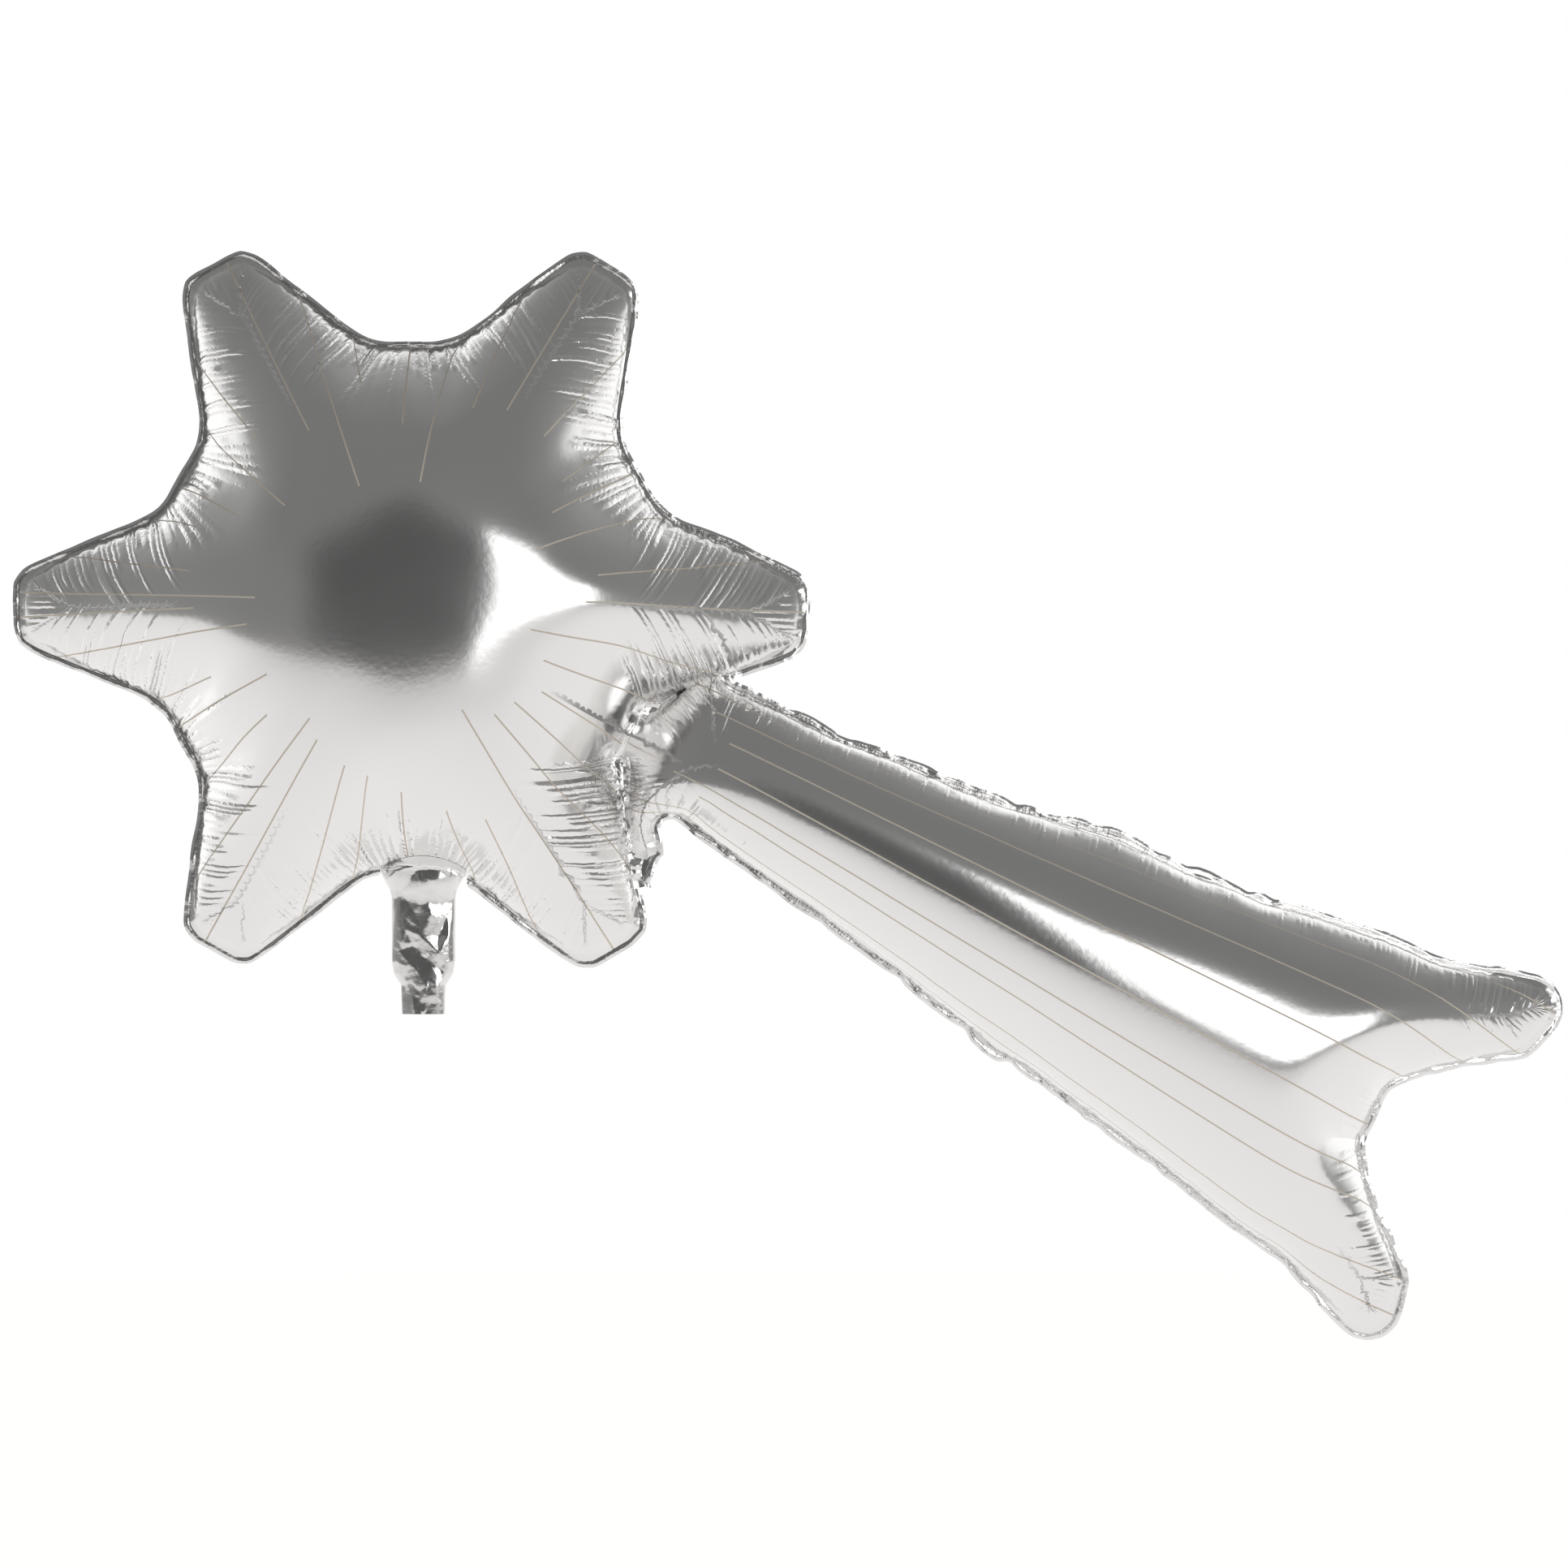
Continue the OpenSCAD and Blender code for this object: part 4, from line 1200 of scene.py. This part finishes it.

# %% [markdown]
# ## The studio
# A mirror shows the room, so the room makes the picture: white behind, a pale floor below whose light is
# painted on as a glow that is dimmer towards the camera, mid-grey sides and ceiling, a dark patch where the
# camera stands, and one soft light to the camera's right that gives the bright spot on the star and the band
# along the streamer. The room is a world shader that depends on direction only. The camera itself sees plain
# white.

# %% Floor, with its light painted on as a glow
FLOOR_BELOW = 0.34
FLOOR_RADIUS = 4.8
# The floor's painted light: how bright its glow is towards the camera and behind, where it changes, and its
# tint.
FLOOR_DIM, FLOOR_FULL, FLOOR_DIM_AT, FLOOR_FULL_AT = 0.62, 0.92, -3.0, 1.2
PAINTED_FLOOR_LIGHT_TINT = (1, 0.985, 0.975)
floor_mesh = bmesh.new()
bmesh.ops.create_circle(floor_mesh, cap_ends=True, radius=FLOOR_RADIUS, segments=96)
bmesh.ops.translate(floor_mesh, verts=floor_mesh.verts[:], vec=(cad_centre.x, 0, cad_low.z - FLOOR_BELOW))
floor = finished("floor", floor_mesh)
floor_material, floor_tree, floor_shader = new_material("painted_light_floor")
floor_shader.inputs["Base Color"].default_value = (0.20, 0.195, 0.19, 1)
floor_place = wired(floor_tree, "ShaderNodeTexCoord").outputs["Object"]
floor_depth = wired(floor_tree, "ShaderNodeSeparateXYZ", {"Vector": floor_place}).outputs["Y"]
# Painted light: the floor glows by emission, dimmer towards the camera and fuller behind, in place of light from
# a lamp.
floor_painted_light = wired(floor_tree, "ShaderNodeMapRange", {
    "Value": floor_depth, "From Min": FLOOR_DIM_AT, "From Max": FLOOR_FULL_AT,
    "To Min": FLOOR_DIM, "To Max": FLOOR_FULL})
painted_light_colour = wired(floor_tree, "ShaderNodeVectorMath", {0: PAINTED_FLOOR_LIGHT_TINT, "Scale": floor_painted_light.outputs["Result"]},
                    operation="SCALE").outputs[0]
floor_tree.links.new(painted_light_colour, floor_shader.inputs["Emission Color"])
floor_shader.inputs["Emission Strength"].default_value = 1.0
floor_shader.inputs["Roughness"].default_value = 0.9
floor_shader.inputs["Specular IOR Level"].default_value = 0.1
floor_grain = wired(floor_tree, "ShaderNodeTexNoise", {"Vector": floor_place, "Scale": 60.0})
floor_relief = wired(floor_tree, "ShaderNodeBump", {
    "Height": floor_grain.outputs["Fac"], "Strength": 0.05, "Distance": 0.001})
floor_tree.links.new(floor_relief.outputs["Normal"], floor_shader.inputs["Normal"])
floor.data.materials.append(floor_material)

# %% The room as a world shader
# Brightness against how far a direction leans to the camera's side and, counted less, upwards.
UP_SHARE = 0.75
ROOM_END = 1 + UP_SHARE
ROOM = [(-1.0, 1.2), (-0.42, 1.15), (-0.22, 0.75), (-0.02, 0.34), (0.40, 0.25), (1.0, 0.20), (ROOM_END, 0.19)]
DARK_FROM, DARK_TO, DARKEST = 0.90, 0.975, 0.42
WARMTH = 0.99
world = bpy.data.worlds.new("studio")
scene.world = world
world.use_nodes = True
sky = world.node_tree
background = sky.nodes["Background"]
direction = wired(sky, "ShaderNodeSeparateXYZ", {
    "Vector": wired(sky, "ShaderNodeTexCoord").outputs["Generated"]}).outputs
to_camera = worked(sky, "MULTIPLY", direction["Y"], -1.0)
lean = worked(sky, "MULTIPLY_ADD", worked(sky, "MAXIMUM", direction["Z"], 0.0), UP_SHARE, to_camera)
lean_share = wired(sky, "ShaderNodeMapRange", {"Value": lean, "From Min": -1.0, "From Max": ROOM_END})
room = wired(sky, "ShaderNodeValToRGB", {"Fac": lean_share.outputs["Result"]})
ramp = room.color_ramp.elements
ramp[0].position, ramp[1].position = 0.0, 1.0
for leaning, _ in ROOM[1:-1]:
    ramp.new((leaning + 1) / (ROOM_END + 1))
for stop, (_, brightness) in zip(ramp, ROOM):
    stop.color = (brightness, brightness, brightness * WARMTH, 1)
dark = wired(sky, "ShaderNodeMapRange", {"Value": to_camera, "From Min": DARK_FROM, "From Max": DARK_TO,
                                         "To Min": 1.0, "To Max": DARKEST}, interpolation_type="SMOOTHSTEP")
room_colour = wired(sky, "ShaderNodeVectorMath", {0: room.outputs["Color"], "Scale": dark.outputs["Result"]},
                    operation="SCALE").outputs[0]
seen = wired(sky, "ShaderNodeMix", {"Factor": wired(sky, "ShaderNodeLightPath").outputs["Is Camera Ray"],
                                    "A": room_colour, "B": (1, 1, 1, 1)}, data_type="RGBA")
sky.links.new(seen.outputs["Result"], background.inputs["Color"])

# %% The soft light
KEY_PLACE = (1.48, -1.9, 0.36)
KEY_WIDTH, KEY_HEIGHT, KEY_POWER = 2.1, 1.05, 10.5
key_data = bpy.data.lights.new("key", "AREA")
key_data.shape, key_data.energy = "RECTANGLE", KEY_POWER
key_data.size, key_data.size_y = KEY_WIDTH, KEY_HEIGHT
key = bpy.data.objects.new("key", key_data)
scene.collection.objects.link(key)
key.location = KEY_PLACE
key.rotation_euler = (math.radians(90), 0, 0)
key.visible_camera = False
scene.view_settings.view_transform = "Standard"
